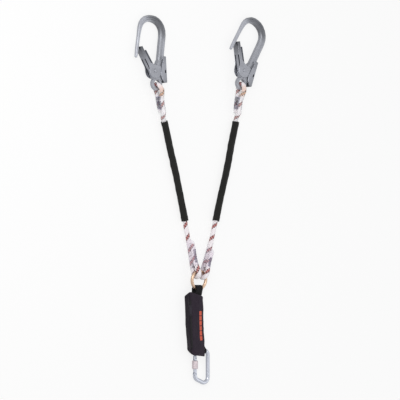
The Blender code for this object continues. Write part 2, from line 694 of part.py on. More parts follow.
def build_leg(side, leg):
    turn = math.radians(leg["ring_angle"])
    cross = (
        ring_centre[0] + ring_radius * math.cos(turn),
        ring_centre[1] + ring_radius * math.sin(turn) * run,
        ring_centre[2] + ring_radius * math.sin(turn) * rise,
    )
    leg_frame = frame("leg_frame_" + side, (0.0, ring_radius, 0.0), 0.0, 0.0, ring_frame)

    # Lower end: the main strand comes in under the wire, and the tail lies back over it
    low_plan = [cross[:2]] + leg["low_plan"] + leg["sleeve"][:1]
    away = np.array(low_plan[1]) - np.array(low_plan[0])
    away /= np.linalg.norm(away)
    low_bend = half_turn(cross, tuple(-away), ring_turn_radius)
    ease = [(10.0, 0.80), (20.0, 0.38), (30.0, 0.08), (40.0, 0.0)]
    ease += [(d, 0.0) for d in np.arange(52.0, leg["low_tail"] - 6.0, 12.0)] + [(leg["low_tail"], 0.0)]
    tail_low = along_plan(low_plan, strand_heights(ring_turn_radius, ease))
    main_low = along_plan(low_plan, [(d, rope_low) for d in np.arange(12.0, 98.0, 14.0)])

    # Upper end: the tail lies under the main strand, which comes over the eye bar
    aim = np.array(leg["eye_aim"])
    aim /= np.linalg.norm(aim)
    bar_x = leg["hook"][0] + eye_bar_radius * aim[0]
    bar_y = leg["hook"][1] + eye_bar_radius * aim[1]
    bar = (bar_x, bar_y, eye_height + 0.7)
    high_plan = [bar[:2]] + leg["high_plan"] + leg["join"] + leg["sleeve"][-1:]
    high_bend = half_turn(bar, tuple(-aim), eye_turn_radius)
    ease = [(9.0, 0.86), (18.0, 0.50), (28.0, 0.12), (37.0, 0.0), (upper_splice_length, 0.0)]
    ease += [(upper_splice_length + 10.0, 0.0)]
    main_high = along_plan(high_plan, strand_heights(eye_turn_radius, ease))
    tail_reach = upper_splice_length + 10.0
    tail_high = along_plan(high_plan, [(d, rope_low) for d in (10.0, 24.0, 40.0, 56.0, tail_reach)])
    join = [(x, y, z) for (x, y), z in zip(leg["join"], (15.4, sleeve_line + 1.6))]

    sleeve = [(x, y, sleeve_line) for x, y in leg["sleeve"]]
    settle = [(*leg["low_plan"][-1], sleeve_line - 1.2)]
    route = tail_high[::-1] + high_bend + main_high + join + sleeve[::-1] + settle
    route += main_low[::-1] + low_bend + tail_low
    points = cord_points(route, 30.0, 8.5)
    print("rope", side, "has", len(points), "points")
    rope = tube("rope_" + side, points, rope_radius, None, rope_white)
    attach_shifted(rope, leg_frame)

    covered = smooth_route(join[-1:] + sleeve[::-1] + settle, 1.0)
    covered = [p for p in covered if sleeve_bottom <= p[1] <= sleeve_top]
    covered = smooth_route(covered[::12] + covered[-1:], 26.0)
    sleeve_skin("protective_sleeve_" + side, leg_frame, shifted(np.array(covered)))

    placed = shifted(points)
    for end, plan, start, stop, count, stitch in (
        ("lower", low_plan, 24.0, leg["low_tail"] - 4.0, 8, leg["low_stitch"]),
        ("upper", high_plan, 19.0, upper_splice_length + 7.0, 9, (22.0, 50.0)),
    ):
        stations = [(shift_plan(spot), aside) for spot, aside in pair_stations(plan, start, stop, count)]
        shrink_tube("%s_splice_tube_%s" % (end, side), leg_frame, placed, stations)
        stations = [(shift_plan(spot), aside) for spot, aside in pair_stations(plan, *stitch, 4)]
        for label, hand in (("near", -1.0), ("far", 1.0)):
            stitch_strip("%s_stitch_%s_%s" % (end, label, side), leg_frame, placed, stations, hand)
    hook = build_hook(side, (leg["hook"][0] + centre_shift_x, leg["hook"][1] + centre_shift_y), leg["yaw"])
    attach(hook, leg_frame)


def shifted(points):
    """World places of points given on the drawing."""
    return np.array(points) + np.array([centre_shift_x, centre_shift_y, 0.0])


def shift_plan(spot):
    return np.array(spot) + np.array([centre_shift_x, centre_shift_y])


def attach_shifted(thing, parent):
    thing.location = Vector((centre_shift_x, centre_shift_y, 0.0)) * MM
    attach(thing, parent)


for leg_side, leg_sizes in legs.items():
    build_leg(leg_side, leg_sizes)


# Absorber pouch: its frame lies on the floor under the middle of the pouch
pouch_frame = frame("pouch_frame", (pouch_x, pouch_y, 0.0), pouch_yaw_deg, 0.0, everything)


def pouch_section(y, width, low, high, corner):
    """Rounded rectangle square to the pouch's length."""
    ring = []
    for sx, sz, start in ((1, 1, 0), (-1, 1, 90), (-1, -1, 180), (1, -1, 270)):
        centre = (sx * (width / 2 - corner), (high - corner) if sz > 0 else (low + corner))
        ring += [(x, y, z) for x, z in arc(centre, corner, start, start + 90, 4)]
    return ring


half = pouch_length / 2
# Along the pouch: place, width lost, floor height and top lost towards each end
pouch_rows = [
    (-half, 3.0, 0.6, 1.0), (5.0 - half, 1.0, 0.0, 0.2), (13.0 - half, 0.0, 0.0, 0.0),
    (half - 14.0, 0.0, 0.0, 0.0), (half - 5.0, 2.0, 1.0, 0.4), (half, 5.0, 3.0, 1.0),
]


def draw_out_ends(thing):
    """Draws the pouch's ends out: its zip corner at the upper end, its flap's far side at the lower end."""
    for vertex in thing.data.vertices:
        x, y, z = (c / MM for c in vertex.co)
        share = (abs(y) - half + 6.0) / 6.0
        if share <= 0.0:
            continue
        left = 0.5 - x / pouch_width
        over = z / pouch_height
        out = corner_reach * left**2 * over if y > 0 else lower_slant * (over * 0.5 + (1.0 - left) * 0.5)
        vertex.co.y += math.copysign(out * share, y) * MM


outer_rings = []
inner_rings = []
for y, slim, foot, sink in pouch_rows:
    stretch = 1.05 if abs(y) > half - 1.0 else 1.0
    outer_rings.append(pouch_section(y, pouch_width - slim, foot, pouch_height - sink, pouch_corner))
    inner_width = pouch_width - slim - 2 * pouch_wall
    inner_rings.append(pouch_section(
        y * stretch, inner_width, foot + pouch_wall, pouch_height - sink - pouch_wall,
        pouch_corner - pouch_wall))
pouch = finish("absorber_pouch", loft(outer_rings), pouch_frame, pouch_fabric)
combine(pouch, loft(inner_rings), "DIFFERENCE")
# Towards the carabiner only the top flap and the zip side run on
mouth = [(pouch_wall + 3.0 - pouch_width / 2, -half - 9.0), (90.0, -half - 9.0)]
mouth += [(90.0, mouth_depth - half), (pouch_wall + 3.0 - pouch_width / 2, mouth_depth - half)]
combine(pouch, prism(mouth, -9.0, pouch_height - pouch_corner + 3.0), "DIFFERENCE")
draw_out_ends(pouch)


def folded_pack():
    """Tear webbing folded to and fro, as one strip seen from its edge."""
    pitch = webbing_thickness + webbing_layer_gap
    low = pouch_wall + clearance + webbing_thickness / 2
    reach = pack_length / 2 - pitch
    line = []
    for layer in range(webbing_layers):
        z = low + layer * pitch
        way = 1.0 if layer % 2 == 0 else -1.0
        line += [(-way * reach, z), (way * reach, z)]
        if layer < webbing_layers - 1:
            for turn in (-45.0, 0.0, 45.0):
                swing = math.radians(turn)
                turn_y = way * (reach + pitch / 2 * math.cos(swing))
                line.append((turn_y, z + pitch / 2 + pitch / 2 * math.sin(swing)))
    points = np.array(line)
    tangents = directions(points)
    normals = np.stack([-tangents[:, 1], tangents[:, 0]], axis=1)
    left = points + normals * webbing_thickness / 2
    right = points - normals * webbing_thickness / 2
    outline = [tuple(p) for p in left] + [tuple(p) for p in right[::-1]]
    side = pack_width / 2
    return loft([[(x, y + pack_offset, z) for y, z in outline] for x in (-side, side)])


finish("tear_webbing_pack", folded_pack(), pouch_frame, tear_webbing)


def strap_loop(name, place, inner, width, length, slant, away):
    """Sewn webbing loop round an axis along X; its two legs close up towards the pouch."""
    outer = inner + webbing_thickness
    inside = [(away * y, z) for y, z in arc((0.0, 0.0), inner, 112.0, -112.0, 14)]
    inside += [(-away * (length - 5.0), -0.4), (-away * (length - 5.0), 0.4)]
    outside = [(away * y, z) for y, z in arc((0.0, 0.0), outer, 112.0, -112.0, 14)]
    outside += [(-away * length, -webbing_thickness - 0.2), (-away * length, webbing_thickness + 0.2)]
    rings = []
    for shape, side in ((outside, -1.0), (outside, 1.0), (inside, 1.0), (inside, -1.0)):
        rings.append([(side * width / 2 + slant * away * y, y, z) for y, z in shape])
    thing = finish(name, loft(rings, closed=True), None, black_webbing)
    thing.location = Vector(place) * MM
    attach(thing, pouch_frame)


top_offset = 2.0
ring_rise = ring_radius - math.sqrt(ring_radius**2 - (top_loop_width / 2 + top_offset) ** 2)
top_inner = ring_wire / 2 + ring_rise + clearance + 0.2
top_place = shifted((ring_foot[0] - top_offset, ring_foot[1], ring_foot[2]))
strap_loop("top_webbing_loop", top_place, top_inner, top_loop_width, top_loop_length, top_loop_slant, 1.0)

carabiner_y = pouch_y - pouch_length / 2 + carabiner_set_in
bottom_inner = carabiner_wire / 2 + clearance + 0.2
carabiner_z = bottom_inner + webbing_thickness + 0.3
bottom_place = shifted((carabiner_x - 1.0, carabiner_y, carabiner_z))
strap_loop(
    "bottom_webbing_loop", bottom_place, bottom_inner, bottom_loop_width, bottom_loop_length,
    bottom_loop_slant, -1.0)

# Zip along the pouch's upper left edge; its frame has Z square to the rounded edge
slant_place = math.sqrt(0.5) * pouch_corner
zip_edge = (-pouch_width / 2 + pouch_corner - slant_place, pouch_height - pouch_corner + slant_place)


def edge_frame(name, y, parent):
    empty = frame(name, (zip_edge[0], y, zip_edge[1]), 0.0, 0.0, parent)
    turn = Matrix.Rotation(math.radians(-45.0), 4, "Y")
    empty.matrix_local = Matrix.Translation(Vector((zip_edge[0], y, zip_edge[1])) * MM) @ turn
    return empty


zip_frame = edge_frame("zip_frame", 0.0, pouch_frame)
chain_low = clearance
chain_high = chain_low + zip_chain_thickness
wide = zip_chain_width / 2
chain = [(-wide, chain_low), (wide, chain_low), (wide, chain_high - 0.6), (wide - 0.8, chain_high)]
chain += [(0.8 - wide, chain_high), (-wide, chain_high - 0.6)]
chain_rows = [[(x, y, z) for x, z in chain] for y in (16.0 - half, half - 16.0)]
finish("zip_chain", loft(chain_rows), zip_frame, zip_plastic)

slider_frame = edge_frame("slider_frame", zip_slider_y, pouch_frame)
gap = clearance
shell_out = wide + gap + 1.0
shell_in = wide + gap
roof = chain_high + gap
top = roof + 1.3
hood = [(-shell_out, gap), (-shell_in, gap), (-shell_in, roof)]
hood += [(shell_in, roof), (shell_in, gap), (shell_out, gap)]
hood += [(shell_out, top - 0.6), (shell_out - 0.8, top), (0.8 - shell_out, top), (-shell_out, top - 0.6)]
reach = zip_slider_length / 2
hood_rows = [[(x, y, z) for x, z in hood] for y in (-reach, reach)]
slider = finish("zip_slider", loft(hood_rows), slider_frame, dark_steel)
pull_axis_y = 1.5
pull_axis_z = top + 1.9
lug = [(pull_axis_y - 2.2, top - 0.5), (pull_axis_y + 2.2, top - 0.5)]
lug += [(pull_axis_y + y, pull_axis_z + z) for y, z in arc((0.0, 0.0), 1.5, 0.0, 180.0, 6)]
for low_x, high_x in ((-3.2, -2.2), (2.2, 3.2)):
    combine(slider, loft([[(x, y, z) for y, z in lug] for x in (low_x, high_x)]), "UNION")
combine(slider, rod(0.7, -2.7, 2.7, 0.1, 8, (0.0, pull_axis_y, pull_axis_z), "X"), "UNION")

pull_frame = frame("pull_frame", (0.0, pull_axis_y, pull_axis_z), 0.0, 0.0, slider_frame)
barrel = [(1.0, -1.8), (1.6, -1.8), (1.6, 1.8), (1.0, 1.8)]
pull = finish("zip_pull", turned(barrel, 12, axis="X"), pull_frame, dark_steel)
plate = arc((0.0, 2.2 - zip_pull_length), zip_pull_width / 2, 180.0, 360.0, 8)
plate += [(zip_pull_width / 2, -4.5), (1.7, -1.2), (-1.7, -1.2), (-zip_pull_width / 2, -4.5)]
combine(pull, prism(plate, -0.6, 0.6), "UNION")
combine(pull, rod(1.5, -4.0, 4.0, 0.1, 12, (0.0, 2.6 - zip_pull_length, 0.0)), "DIFFERENCE")

# Carabiner: its frame sits in the webbing loop, on the axis it swings about
carabiner = frame("carabiner_swing_frame", shifted((carabiner_x, carabiner_y, carabiner_z)))
attach(carabiner, pouch_frame)
wire = carabiner_wire / 2
foot_y = gate_hinge_y - 5.2
bow = -carabiner_height
bend = [
    (gate_side_x, nose_end_y), (gate_side_x, nose_end_y + 4.6), (gate_side_x + 1.7, -4.2), (-15.0, -0.9),
    (-9.4, 0.0), (0.0, 0.0), (9.4, 0.0), (15.4, -1.6), (spine_side_x - 2.0, -6.4), (spine_side_x, -14.0),
    (spine_side_x, -30.0), (spine_side_x, -48.0), (spine_side_x, -64.0), (spine_side_x - 0.8, bow + 10.4),
    (spine_side_x - 5.0, bow + 3.0), (spine_side_x - 12.4, bow), (0.4, bow + 2.4),
    (gate_side_x + 12.2, bow + 6.4), (gate_side_x + 4.4, foot_y - 7.4), (gate_side_x + 0.7, foot_y - 3.4),
    (gate_side_x, foot_y),
]


def round_bar(points, radius, sides, neck, neck_radius):
    """A round bar along a flat route in the XY plane, its first stretch turned down to a thinner neck."""
    tangents = directions(points)
    start, heading = points[0], tangents[0]
    rings = []
    rows = [(start, heading, neck_radius - 0.6), (start + heading * 0.6, heading, neck_radius)]
    rows += [(start + heading * neck, heading, neck_radius)]
    rows += [(start + heading * (neck + 0.7), heading, radius)]
    rows += [(p, h, radius) for p, h in zip(points[1:], tangents[1:])]
    rows += [(points[-1], tangents[-1], radius - 0.7)]
    rows[-2] = (points[-1] - tangents[-1] * 0.7, tangents[-1], radius)
    for point, heading, size in rows:
        aside = np.array([heading[1], -heading[0], 0.0])
        ring = []
        for k in range(sides):
            turn = 2.0 * math.pi * (k + 0.5) / sides
            spoke = math.cos(turn) * aside + math.sin(turn) * np.array([0.0, 0.0, 1.0])
            ring.append(tuple(point + size * spoke))
        rings.append(ring)
    return loft(rings)


bar_line = smooth_route([(x, y, 0.0) for x, y in bend], 8.0)
bar = round_bar(bar_line, wire, 12, neck_length, gate_tube_diameter / 2)
body = finish("carabiner_body", bar, carabiner, bright_steel)
pin = carabiner_pin_diameter / 2
hinge_hole = pin + clearance
tongue = [(gate_side_x - 4.0, foot_y - 3.0), (gate_side_x + 4.0, foot_y - 3.0)]
tongue += arc((gate_side_x, gate_hinge_y), 4.0, 0.0, 180.0, 10)
combine(body, prism(tongue, -tongue_thickness / 2, tongue_thickness / 2), "UNION")
combine(body, rod(hinge_hole, -9.0, 9.0, 0.1, 14, (gate_side_x, gate_hinge_y, 0.0)), "DIFFERENCE")
latch_y = nose_end_y - 7.6
back = gate_side_x - 3.6
blade = [(back, nose_end_y + 3.0), (back, latch_y - 3.6), (gate_side_x + 0.4, latch_y - 3.6)]
blade += [(gate_side_x + 0.8, latch_y - 2.0), (gate_side_x - 1.9, latch_y - 1.8)]
blade += [(gate_side_x - 1.9, latch_y + 1.8)]
blade += [(gate_side_x + 3.0, latch_y + 2.0), (gate_side_x + 3.0, nose_end_y + 3.0)]
combine(body, prism(blade, -latch_blade_thickness / 2, latch_blade_thickness / 2), "UNION")

gate_axis = frame("carabiner_gate_frame", (gate_side_x, gate_hinge_y, 0.0), 0.0, 0.0, carabiner)
gate_radius = gate_tube_diameter / 2
gate_top = nose_end_y - gate_hinge_y - 2 * clearance
tube_form = rod(gate_radius, 2.0, gate_top, 0.6, 16, (0.0, 0.0, 0.0), "Y")
arm = finish("carabiner_gate", tube_form, gate_axis, bright_steel)
cheek = tongue_thickness / 2 + clearance
slot = [(-9.0, -9.0), (9.0, -9.0), (9.0, 4.0 + 1.4), (-9.0, 4.0 + 1.4)]
for low_z, high_z in ((cheek - 0.4, gate_radius - 0.6), (0.6 - gate_radius, 0.4 - cheek)):
    combine(arm, rod(gate_radius - 0.4, low_z, high_z, 0.1, 16), "UNION")
combine(arm, prism(slot, -cheek, cheek), "DIFFERENCE")
combine(arm, rod(hinge_hole, -9.0, 9.0, 0.1, 14), "DIFFERENCE")
blade_room = latch_blade_thickness / 2 + clearance
low_slot = latch_y - 3.6 - clearance - gate_hinge_y - 1.0
slot = [(-9.0, low_slot), (9.0, low_slot), (9.0, gate_top + 5.0), (-9.0, gate_top + 5.0)]
combine(arm, prism(slot, -blade_room, blade_room), "DIFFERENCE")
combine(arm, rod(1.5, -9.0, 9.0, 0.1, 12, (0.0, latch_y - gate_hinge_y, 0.0)), "DIFFERENCE")
pin_reach = gate_radius - 0.3
latch_pin = rod(1.2, -pin_reach, pin_reach, 0.3, 12, (0.0, latch_y - gate_hinge_y, 0.0))
finish("carabiner_latch_pin", latch_pin, gate_axis, dark_steel)
hinge_pin = rod(pin, -pin_reach, pin_reach, 0.3, 12, (gate_side_x, gate_hinge_y, 0.0))
finish("carabiner_hinge_pin", hinge_pin, carabiner, dark_steel)
bore = wire + clearance
skin = screw_sleeve_diameter / 2
half_sleeve = screw_sleeve_length / 2
screw = [(bore, -half_sleeve), (skin - 1.4, -half_sleeve), (skin, 1.6 - half_sleeve)]
screw += [(skin, half_sleeve - 1.6), (skin - 1.4, half_sleeve), (bore, half_sleeve)]
screw_frame = frame("screw_sleeve_frame", (0.0, screw_sleeve_y - gate_hinge_y, 0.0), 0.0, 0.0, gate_axis)
finish("screw_sleeve", turned(screw, 20, axis="Y"), screw_frame, knurled)
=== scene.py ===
import math

import bmesh
import bpy
import numpy as np
from mathutils import Matrix, Vector, noise


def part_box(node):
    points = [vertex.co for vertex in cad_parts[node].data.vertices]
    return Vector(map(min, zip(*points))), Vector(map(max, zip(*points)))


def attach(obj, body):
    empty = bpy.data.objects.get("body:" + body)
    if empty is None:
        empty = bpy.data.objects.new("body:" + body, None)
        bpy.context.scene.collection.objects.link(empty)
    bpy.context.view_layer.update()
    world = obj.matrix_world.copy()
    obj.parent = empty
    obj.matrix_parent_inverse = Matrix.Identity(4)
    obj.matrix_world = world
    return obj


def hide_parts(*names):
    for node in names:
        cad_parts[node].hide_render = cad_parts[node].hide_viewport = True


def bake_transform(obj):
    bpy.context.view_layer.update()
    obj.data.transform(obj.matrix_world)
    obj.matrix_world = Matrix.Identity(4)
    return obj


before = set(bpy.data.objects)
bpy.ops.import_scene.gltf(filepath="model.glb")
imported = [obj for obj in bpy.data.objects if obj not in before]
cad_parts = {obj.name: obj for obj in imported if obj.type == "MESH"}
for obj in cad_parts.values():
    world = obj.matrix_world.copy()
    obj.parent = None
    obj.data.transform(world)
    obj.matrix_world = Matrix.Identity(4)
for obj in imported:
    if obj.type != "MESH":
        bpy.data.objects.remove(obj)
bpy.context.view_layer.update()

scene = bpy.context.scene
scene.view_settings.view_transform = "Standard"

# Camera: a long lens that looks down on the lanyard from its left
view = {"tilt": 40.0, "distance": 40.0, "fieldWidth": 1.08, "aim": (0.01027, -0.00033, 0.0)}

lens = bpy.data.cameras.new("viewpoint")
lens.sensor_width = 36.0
lens.lens = 36.0 * view["distance"] / view["fieldWidth"]
lens.clip_end = 80.0
eye = bpy.data.objects.new("viewpoint", lens)
scene.collection.objects.link(eye)
lean = math.radians(view["tilt"])
eye.location = Vector(view["aim"]) + Vector((-math.sin(lean), 0.0, math.cos(lean))) * view["distance"]
eye.rotation_euler = (0.0, -lean, 0.0)
scene.camera = eye
print("camera is set")


def distances(line):
    return np.concatenate([[0.0], np.cumsum(np.linalg.norm(np.diff(line, axis=0), axis=1))])


def readEvenly(line, wanted):
    # Places on a line at the wanted distances along it
    along = distances(line)
    return np.stack([np.interp(wanted, along, line[:, i]) for i in range(line.shape[1])], axis=1)


def between(low, high, start, stop, t):
    return (stop - t) / (stop - start) * low + (t - start) / (stop - start) * high


def smoothLine(points, spacing):
    # A centripetal Catmull-Rom curve through the points, read at an even spacing
    points = [np.array(p, float) for p in points]
    padded = [2 * points[0] - points[1]] + points + [2 * points[-1] - points[-2]]
    fine = []
    for p0, p1, p2, p3 in zip(padded, padded[1:], padded[2:], padded[3:]):
        knots = [0.0]
        for low, high in ((p0, p1), (p1, p2), (p2, p3)):
            knots.append(knots[-1] + math.sqrt(max(np.linalg.norm(high - low), 1e-9)))
        t0, t1, t2, t3 = knots
        for t in (t1 + (t2 - t1) * k / 16 for k in range(16)):
            middle = between(p1, p2, t1, t2, t)
            before = between(between(p0, p1, t0, t1, t), middle, t0, t2, t)
            after = between(middle, between(p2, p3, t2, t3, t), t1, t3, t)
            fine.append(between(before, after, t1, t2, t))
    fine = np.array(fine + [points[-1]])
    whole = distances(fine)[-1]
    return readEvenly(fine, np.linspace(0.0, whole, max(2, int(round(whole / spacing)) + 1)))


def headings(line):
    tangents = np.gradient(line, axis=0)
    return tangents / np.linalg.norm(tangents, axis=1)[:, None]


def carriedFrames(line):
    # Two directions square to the line at each point, carried along it without twist
    tangents = headings(line)
    first = np.cross(tangents[0], (0.0, 0.0, 1.0))
    first /= np.linalg.norm(first)
    sides = [first]
    for heading in tangents[1:]:
        side = sides[-1] - np.dot(sides[-1], heading) * heading
        sides.append(side / np.linalg.norm(side))
    sides = np.array(sides)
    return sides, np.cross(sides, tangents)


def levelFrames(line):
    # The same, but the first direction stays level, so a seam keeps its side
    tangents = headings(line)
    sides = np.cross(tangents, (0.0, 0.0, 1.0))
    sides /= np.linalg.norm(sides, axis=1)[:, None]
    return sides, np.cross(sides, tangents)


def skinRings(name, rings, metres, capped=True, closedRow=False):
    # Faces between rows of points, with a UV map: once round, and metres along
    count = len(rings[0])
    mesh = bpy.data.meshes.new(name)
    shape = bmesh.new()
    layer = shape.loops.layers.uv.new("weave")
    rows = [[shape.verts.new(tuple(p)) for p in ring] for ring in rings]
    steps = len(rows) if closedRow else len(rows) - 1
    for i in range(steps):
        low, high = rows[i], rows[(i + 1) % len(rows)]
        for k in range(count):
            m = (k + 1) % count
            face = shape.faces.new((low[k], low[m], high[m], high[k]))
            for loop, u, v in zip(face.loops, (k, k + 1, k + 1, k), (i, i, i + 1, i + 1)):
                loop[layer].uv = (u / count, metres[v % len(metres)])
            face.smooth = True
    if capped:
        for row, turn in ((rows[0], True), (rows[-1], False)):
            face = shape.faces.new(list(reversed(row)) if turn else row)
            face.smooth = True
    bmesh.ops.recalc_face_normals(shape, faces=shape.faces)
    shape.to_mesh(mesh)
    shape.free()
    piece = bpy.data.objects.new(name, mesh)
    scene.collection.objects.link(piece)
    return piece


def skinTube(name, outer, inner, metres):
    # An outer wall and a lining, joined at both ends
    return skinRings(name, outer + inner[::-1], [*metres, *metres[::-1]], False, True)


def easeStep(value, low, high):
    # 0 below low and 1 above high, with a soft step in between
    share = min(1.0, max(0.0, (value - low) / (high - low)))
    return share * share * (3 - 2 * share)


def bell(distance, width):
    return math.exp(-(distance / width) ** 2)


def pickOut(piece):
    bpy.ops.object.select_all(action="DESELECT")
    piece.select_set(True)
    bpy.context.view_layer.objects.active = piece


def fit(piece, material, held, node):
    # held names the body that carries the piece; when it gives two bodies with the places it turns between,
    # those are not read and the piece is only fixed where it lies
    piece.data.materials.clear()
    piece.data.materials.append(material)
    if isinstance(held, str):
        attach(piece, held)
    else:
        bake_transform(piece)
    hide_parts(node)
    return piece


class Wire:
    # A shader socket that takes part in Python expressions
    def __init__(self, socket):
        self.socket = socket

    def node(self, kind, settings, sockets=None, output=0):
        made = self.socket.id_data.nodes.new(kind)
        for key, value in settings.items():
            setattr(made, key, value)
        for key, value in (sockets or {}).items():
            if isinstance(value, Wire):
                self.socket.id_data.links.new(value.socket, made.inputs[key])
            else:
                made.inputs[key].default_value = value
        return Wire(made.outputs[output])

    def math(self, operation, *others):
        return self.node("ShaderNodeMath", {"operation": operation}, dict(enumerate((self, *others))))

    def __add__(self, other):
        return self.math("ADD", other)

    def __radd__(self, other):
        return self.math("ADD", other)

    def __sub__(self, other):
        return self.math("SUBTRACT", other)

    def __rsub__(self, other):
        return self.math("MULTIPLY_ADD", -1.0, other)

    def __mul__(self, other):
        return self.math("MULTIPLY", other)

    def __rmul__(self, other):
        return self.math("MULTIPLY", other)

    def mix(self, low, high):
        # Colours: low where this is 0, high where it is 1
        return self.node("ShaderNodeMix", {"data_type": "RGBA"}, {0: self, 6: low, 7: high}, 2)

    def noise(self, scale, detail=3.0, roughness=0.5):
        sockets = {"Vector": self, "Scale": scale, "Detail": detail, "Roughness": roughness}
        return self.node("ShaderNodeTexNoise", {}, sockets)

    def range(self, low, high, newLow, newHigh):
        return self.node("ShaderNodeMapRange", {}, {0: self, 1: low, 2: high, 3: newLow, 4: newHigh})

    def bump(self, strength, distance):
        return self.node("ShaderNodeBump", {}, {"Strength": strength, "Distance": distance, "Height": self})

    def tint(self, colour):
        # One colour, made darker or lighter
        return self.node("ShaderNodeCombineColor", {}, {i: self * share for i, share in enumerate(colour)})

    def shades(self, colour, dark, light):
        # From a dark shade of one colour to a light one
        return self.mix(*((*(share * c for c in colour), 1.0) for share in (dark, light)))

    def parts(self):
        split = self.node("ShaderNodeSeparateXYZ", {}, {0: self}).socket.node
        return [Wire(output) for output in split.outputs]


class Finish:
    # A material with its shader, and the wires that its patterns start from
    def __init__(self, name, **values):
        self.material = bpy.data.materials.new(name)
        self.material.use_nodes = True
        self.shader = self.material.node_tree.nodes["Principled BSDF"]
        for key, value in values.items():
            self.shader.inputs[key.replace("_", " ")].default_value = value
        coordinates = self.material.node_tree.nodes.new("ShaderNodeTexCoord")
        self.place = Wire(coordinates.outputs["Object"])
        self.weave = Wire(coordinates.outputs["UV"])

    def feed(self, **wires):
        for key, wire in wires.items():
            self.material.node_tree.links.new(wire.socket, self.shader.inputs[key.replace("_", " ")])
        return self.material


# Studio: pale floor and backdrop, one broad lamp from the left and a weaker one from the right
studio = {"skyFill": 0.62, "skyWhite": 1.0, "floorShow": 0.80, "floorSize": 9.0, "floorDrop": 0.0004,
          "paper": (0.86, 0.86, 0.86, 1.0), "lamps": {"mainLamp": ((-1.5, 0.7, 1.9), 1.4, 26.0),
                                                      "sideLamp": ((1.6, -0.9, 2.0), 1.8, 9.0)}}
white = (1.0, 1.0, 1.0, 1.0)


def raysThatSee(wire):
    # 1 for the camera, and for rays that a glossy or a clear surface sends on
    rays = wire.node("ShaderNodeLightPath", {}).socket.node
    camera, glossy, clear = (Wire(rays.outputs[kind + " Ray"]) for kind in
                             ("Is Camera", "Is Glossy", "Is Transmission"))
    return (camera + glossy + clear).math("MINIMUM", 1.0)


world = bpy.data.worlds.new("studio")
world.use_nodes = True
scene.world = world
sky = world.node_tree.nodes["Background"]
seen = raysThatSee(Wire(sky.outputs[0]))
strength = seen * (studio["skyWhite"] - studio["skyFill"]) + studio["skyFill"]
world.node_tree.links.new(strength.socket, sky.inputs["Strength"])
sky.inputs["Color"].default_value = white

bpy.ops.object.select_all(action="DESELECT")
bpy.ops.mesh.primitive_plane_add(size=studio["floorSize"], location=(0.0, 0.0, -studio["floorDrop"]))
floor = bpy.context.object
floor.name = "floor"
paper = Finish("paper", Base_Color=studio["paper"], Roughness=0.9, Specular_IOR_Level=0.0)
glow = paper.place.node("ShaderNodeEmission", {}, {"Color": white})
matt = Wire(paper.shader.outputs[0])
shown = glow.node("ShaderNodeMixShader", {}, {0: raysThatSee(glow) * studio["floorShow"], 1: matt, 2: glow})
paperTree = paper.material.node_tree
paperTree.links.new(shown.socket, paperTree.nodes["Material Output"].inputs["Surface"])
floor.data.materials.append(paper.material)

for lampName, (place, size, power) in studio["lamps"].items():
    lamp = bpy.data.lights.new(lampName, "AREA")
    lamp.size = size
    lamp.energy = power
    holder = bpy.data.objects.new(lampName, lamp)
    scene.collection.objects.link(holder)
    holder.location = place
    holder.rotation_euler = (-Vector(place)).to_track_quat("-Z", "Y").to_euler()
print("studio is set")

# Metals: colour, roughness, metallic, shine, size of the grain, its depth and how far wear changes the tone.
# The hooks get painted shade towards their crowns and a painted highlight at their noses; the gates get
# painted shade away from their pivots.
metals = {"forgedAluminium": ((0.34, 0.35, 0.385), 0.50, 0.60, 0.50, 900.0, 0.000004, 0.10),
          "pressedSheet": ((0.33, 0.34, 0.375), 0.40, 0.90, 0.50, 1400.0, 0.000004, 0.10),
          "darkSheet": ((0.075, 0.08, 0.095), 0.45, 0.80, 0.50, 1400.0, 0.000004, 0.10),
          "brightZinc": ((0.46, 0.48, 0.54), 0.33, 0.95, 0.50, 1600.0, 0.000005, 0.05),
          "yellowZinc": ((0.56, 0.40, 0.29), 0.34, 0.90, 0.50, 1600.0, 0.000005, 0.08),
          "zipPlastic": ((0.0125, 0.0085, 0.0165), 0.36, 0.0, 0.26, 1200.0, 0.000004, 0.10)}
hookFades = {"crownWay": (0.7, 0.7, 0.0), "crownStart": {"left": 0.204, "right": 0.448}, "crownReach": 0.019,
             "crownShade": 0.46, "noseWay": {"left": (-0.9135, 0.4067, 0.0), "right": (-0.672, 0.741, 0.0)},
             "noseStart": {"left": 0.338, "right": 0.208}, "noseReach": 0.022, "noseHighlight": 1.25,
             "gateStart": 0.030, "gateEnd": 0.078, "gateShade": 0.34}
gatePivot = {"left": (-0.1685, 0.3473, 0.0178), "right": (0.1446, 0.3504, 0.0178)}


def metalFinish(name, fades=(), side=""):
    # A satin surface; each fade scales its tone with the reach along a direction or from a place:
    # painted shade where it darkens, a painted highlight where it brightens
    colour, roughness, metallic, shine, grain, depth, worn = metals[name]
    finish = Finish(name + side.capitalize(), Metallic=metallic, Specular_IOR_Level=shine)
    fine = finish.place.noise(grain, 4.0, 0.6)
    broad = finish.place.noise(45.0, 3.0, 0.6)
    shade = broad.range(0.3, 0.7, 1.0 - worn, 1.0 + worn)
    for measure, place, near, far, there in fades:
        sockets = {0: finish.place, 1: place}
        reach = finish.place.node("ShaderNodeVectorMath", {"operation": measure}, sockets, 1)
        shade = shade * reach.range(near, far, 1.0, there)
    rough = broad.range(0.3, 0.7, roughness + 0.05, roughness - 0.04) + (fine - 0.5) * 0.04
    return finish.feed(Base_Color=shade.tint(colour), Roughness=rough, Normal=fine.bump(0.2, depth))


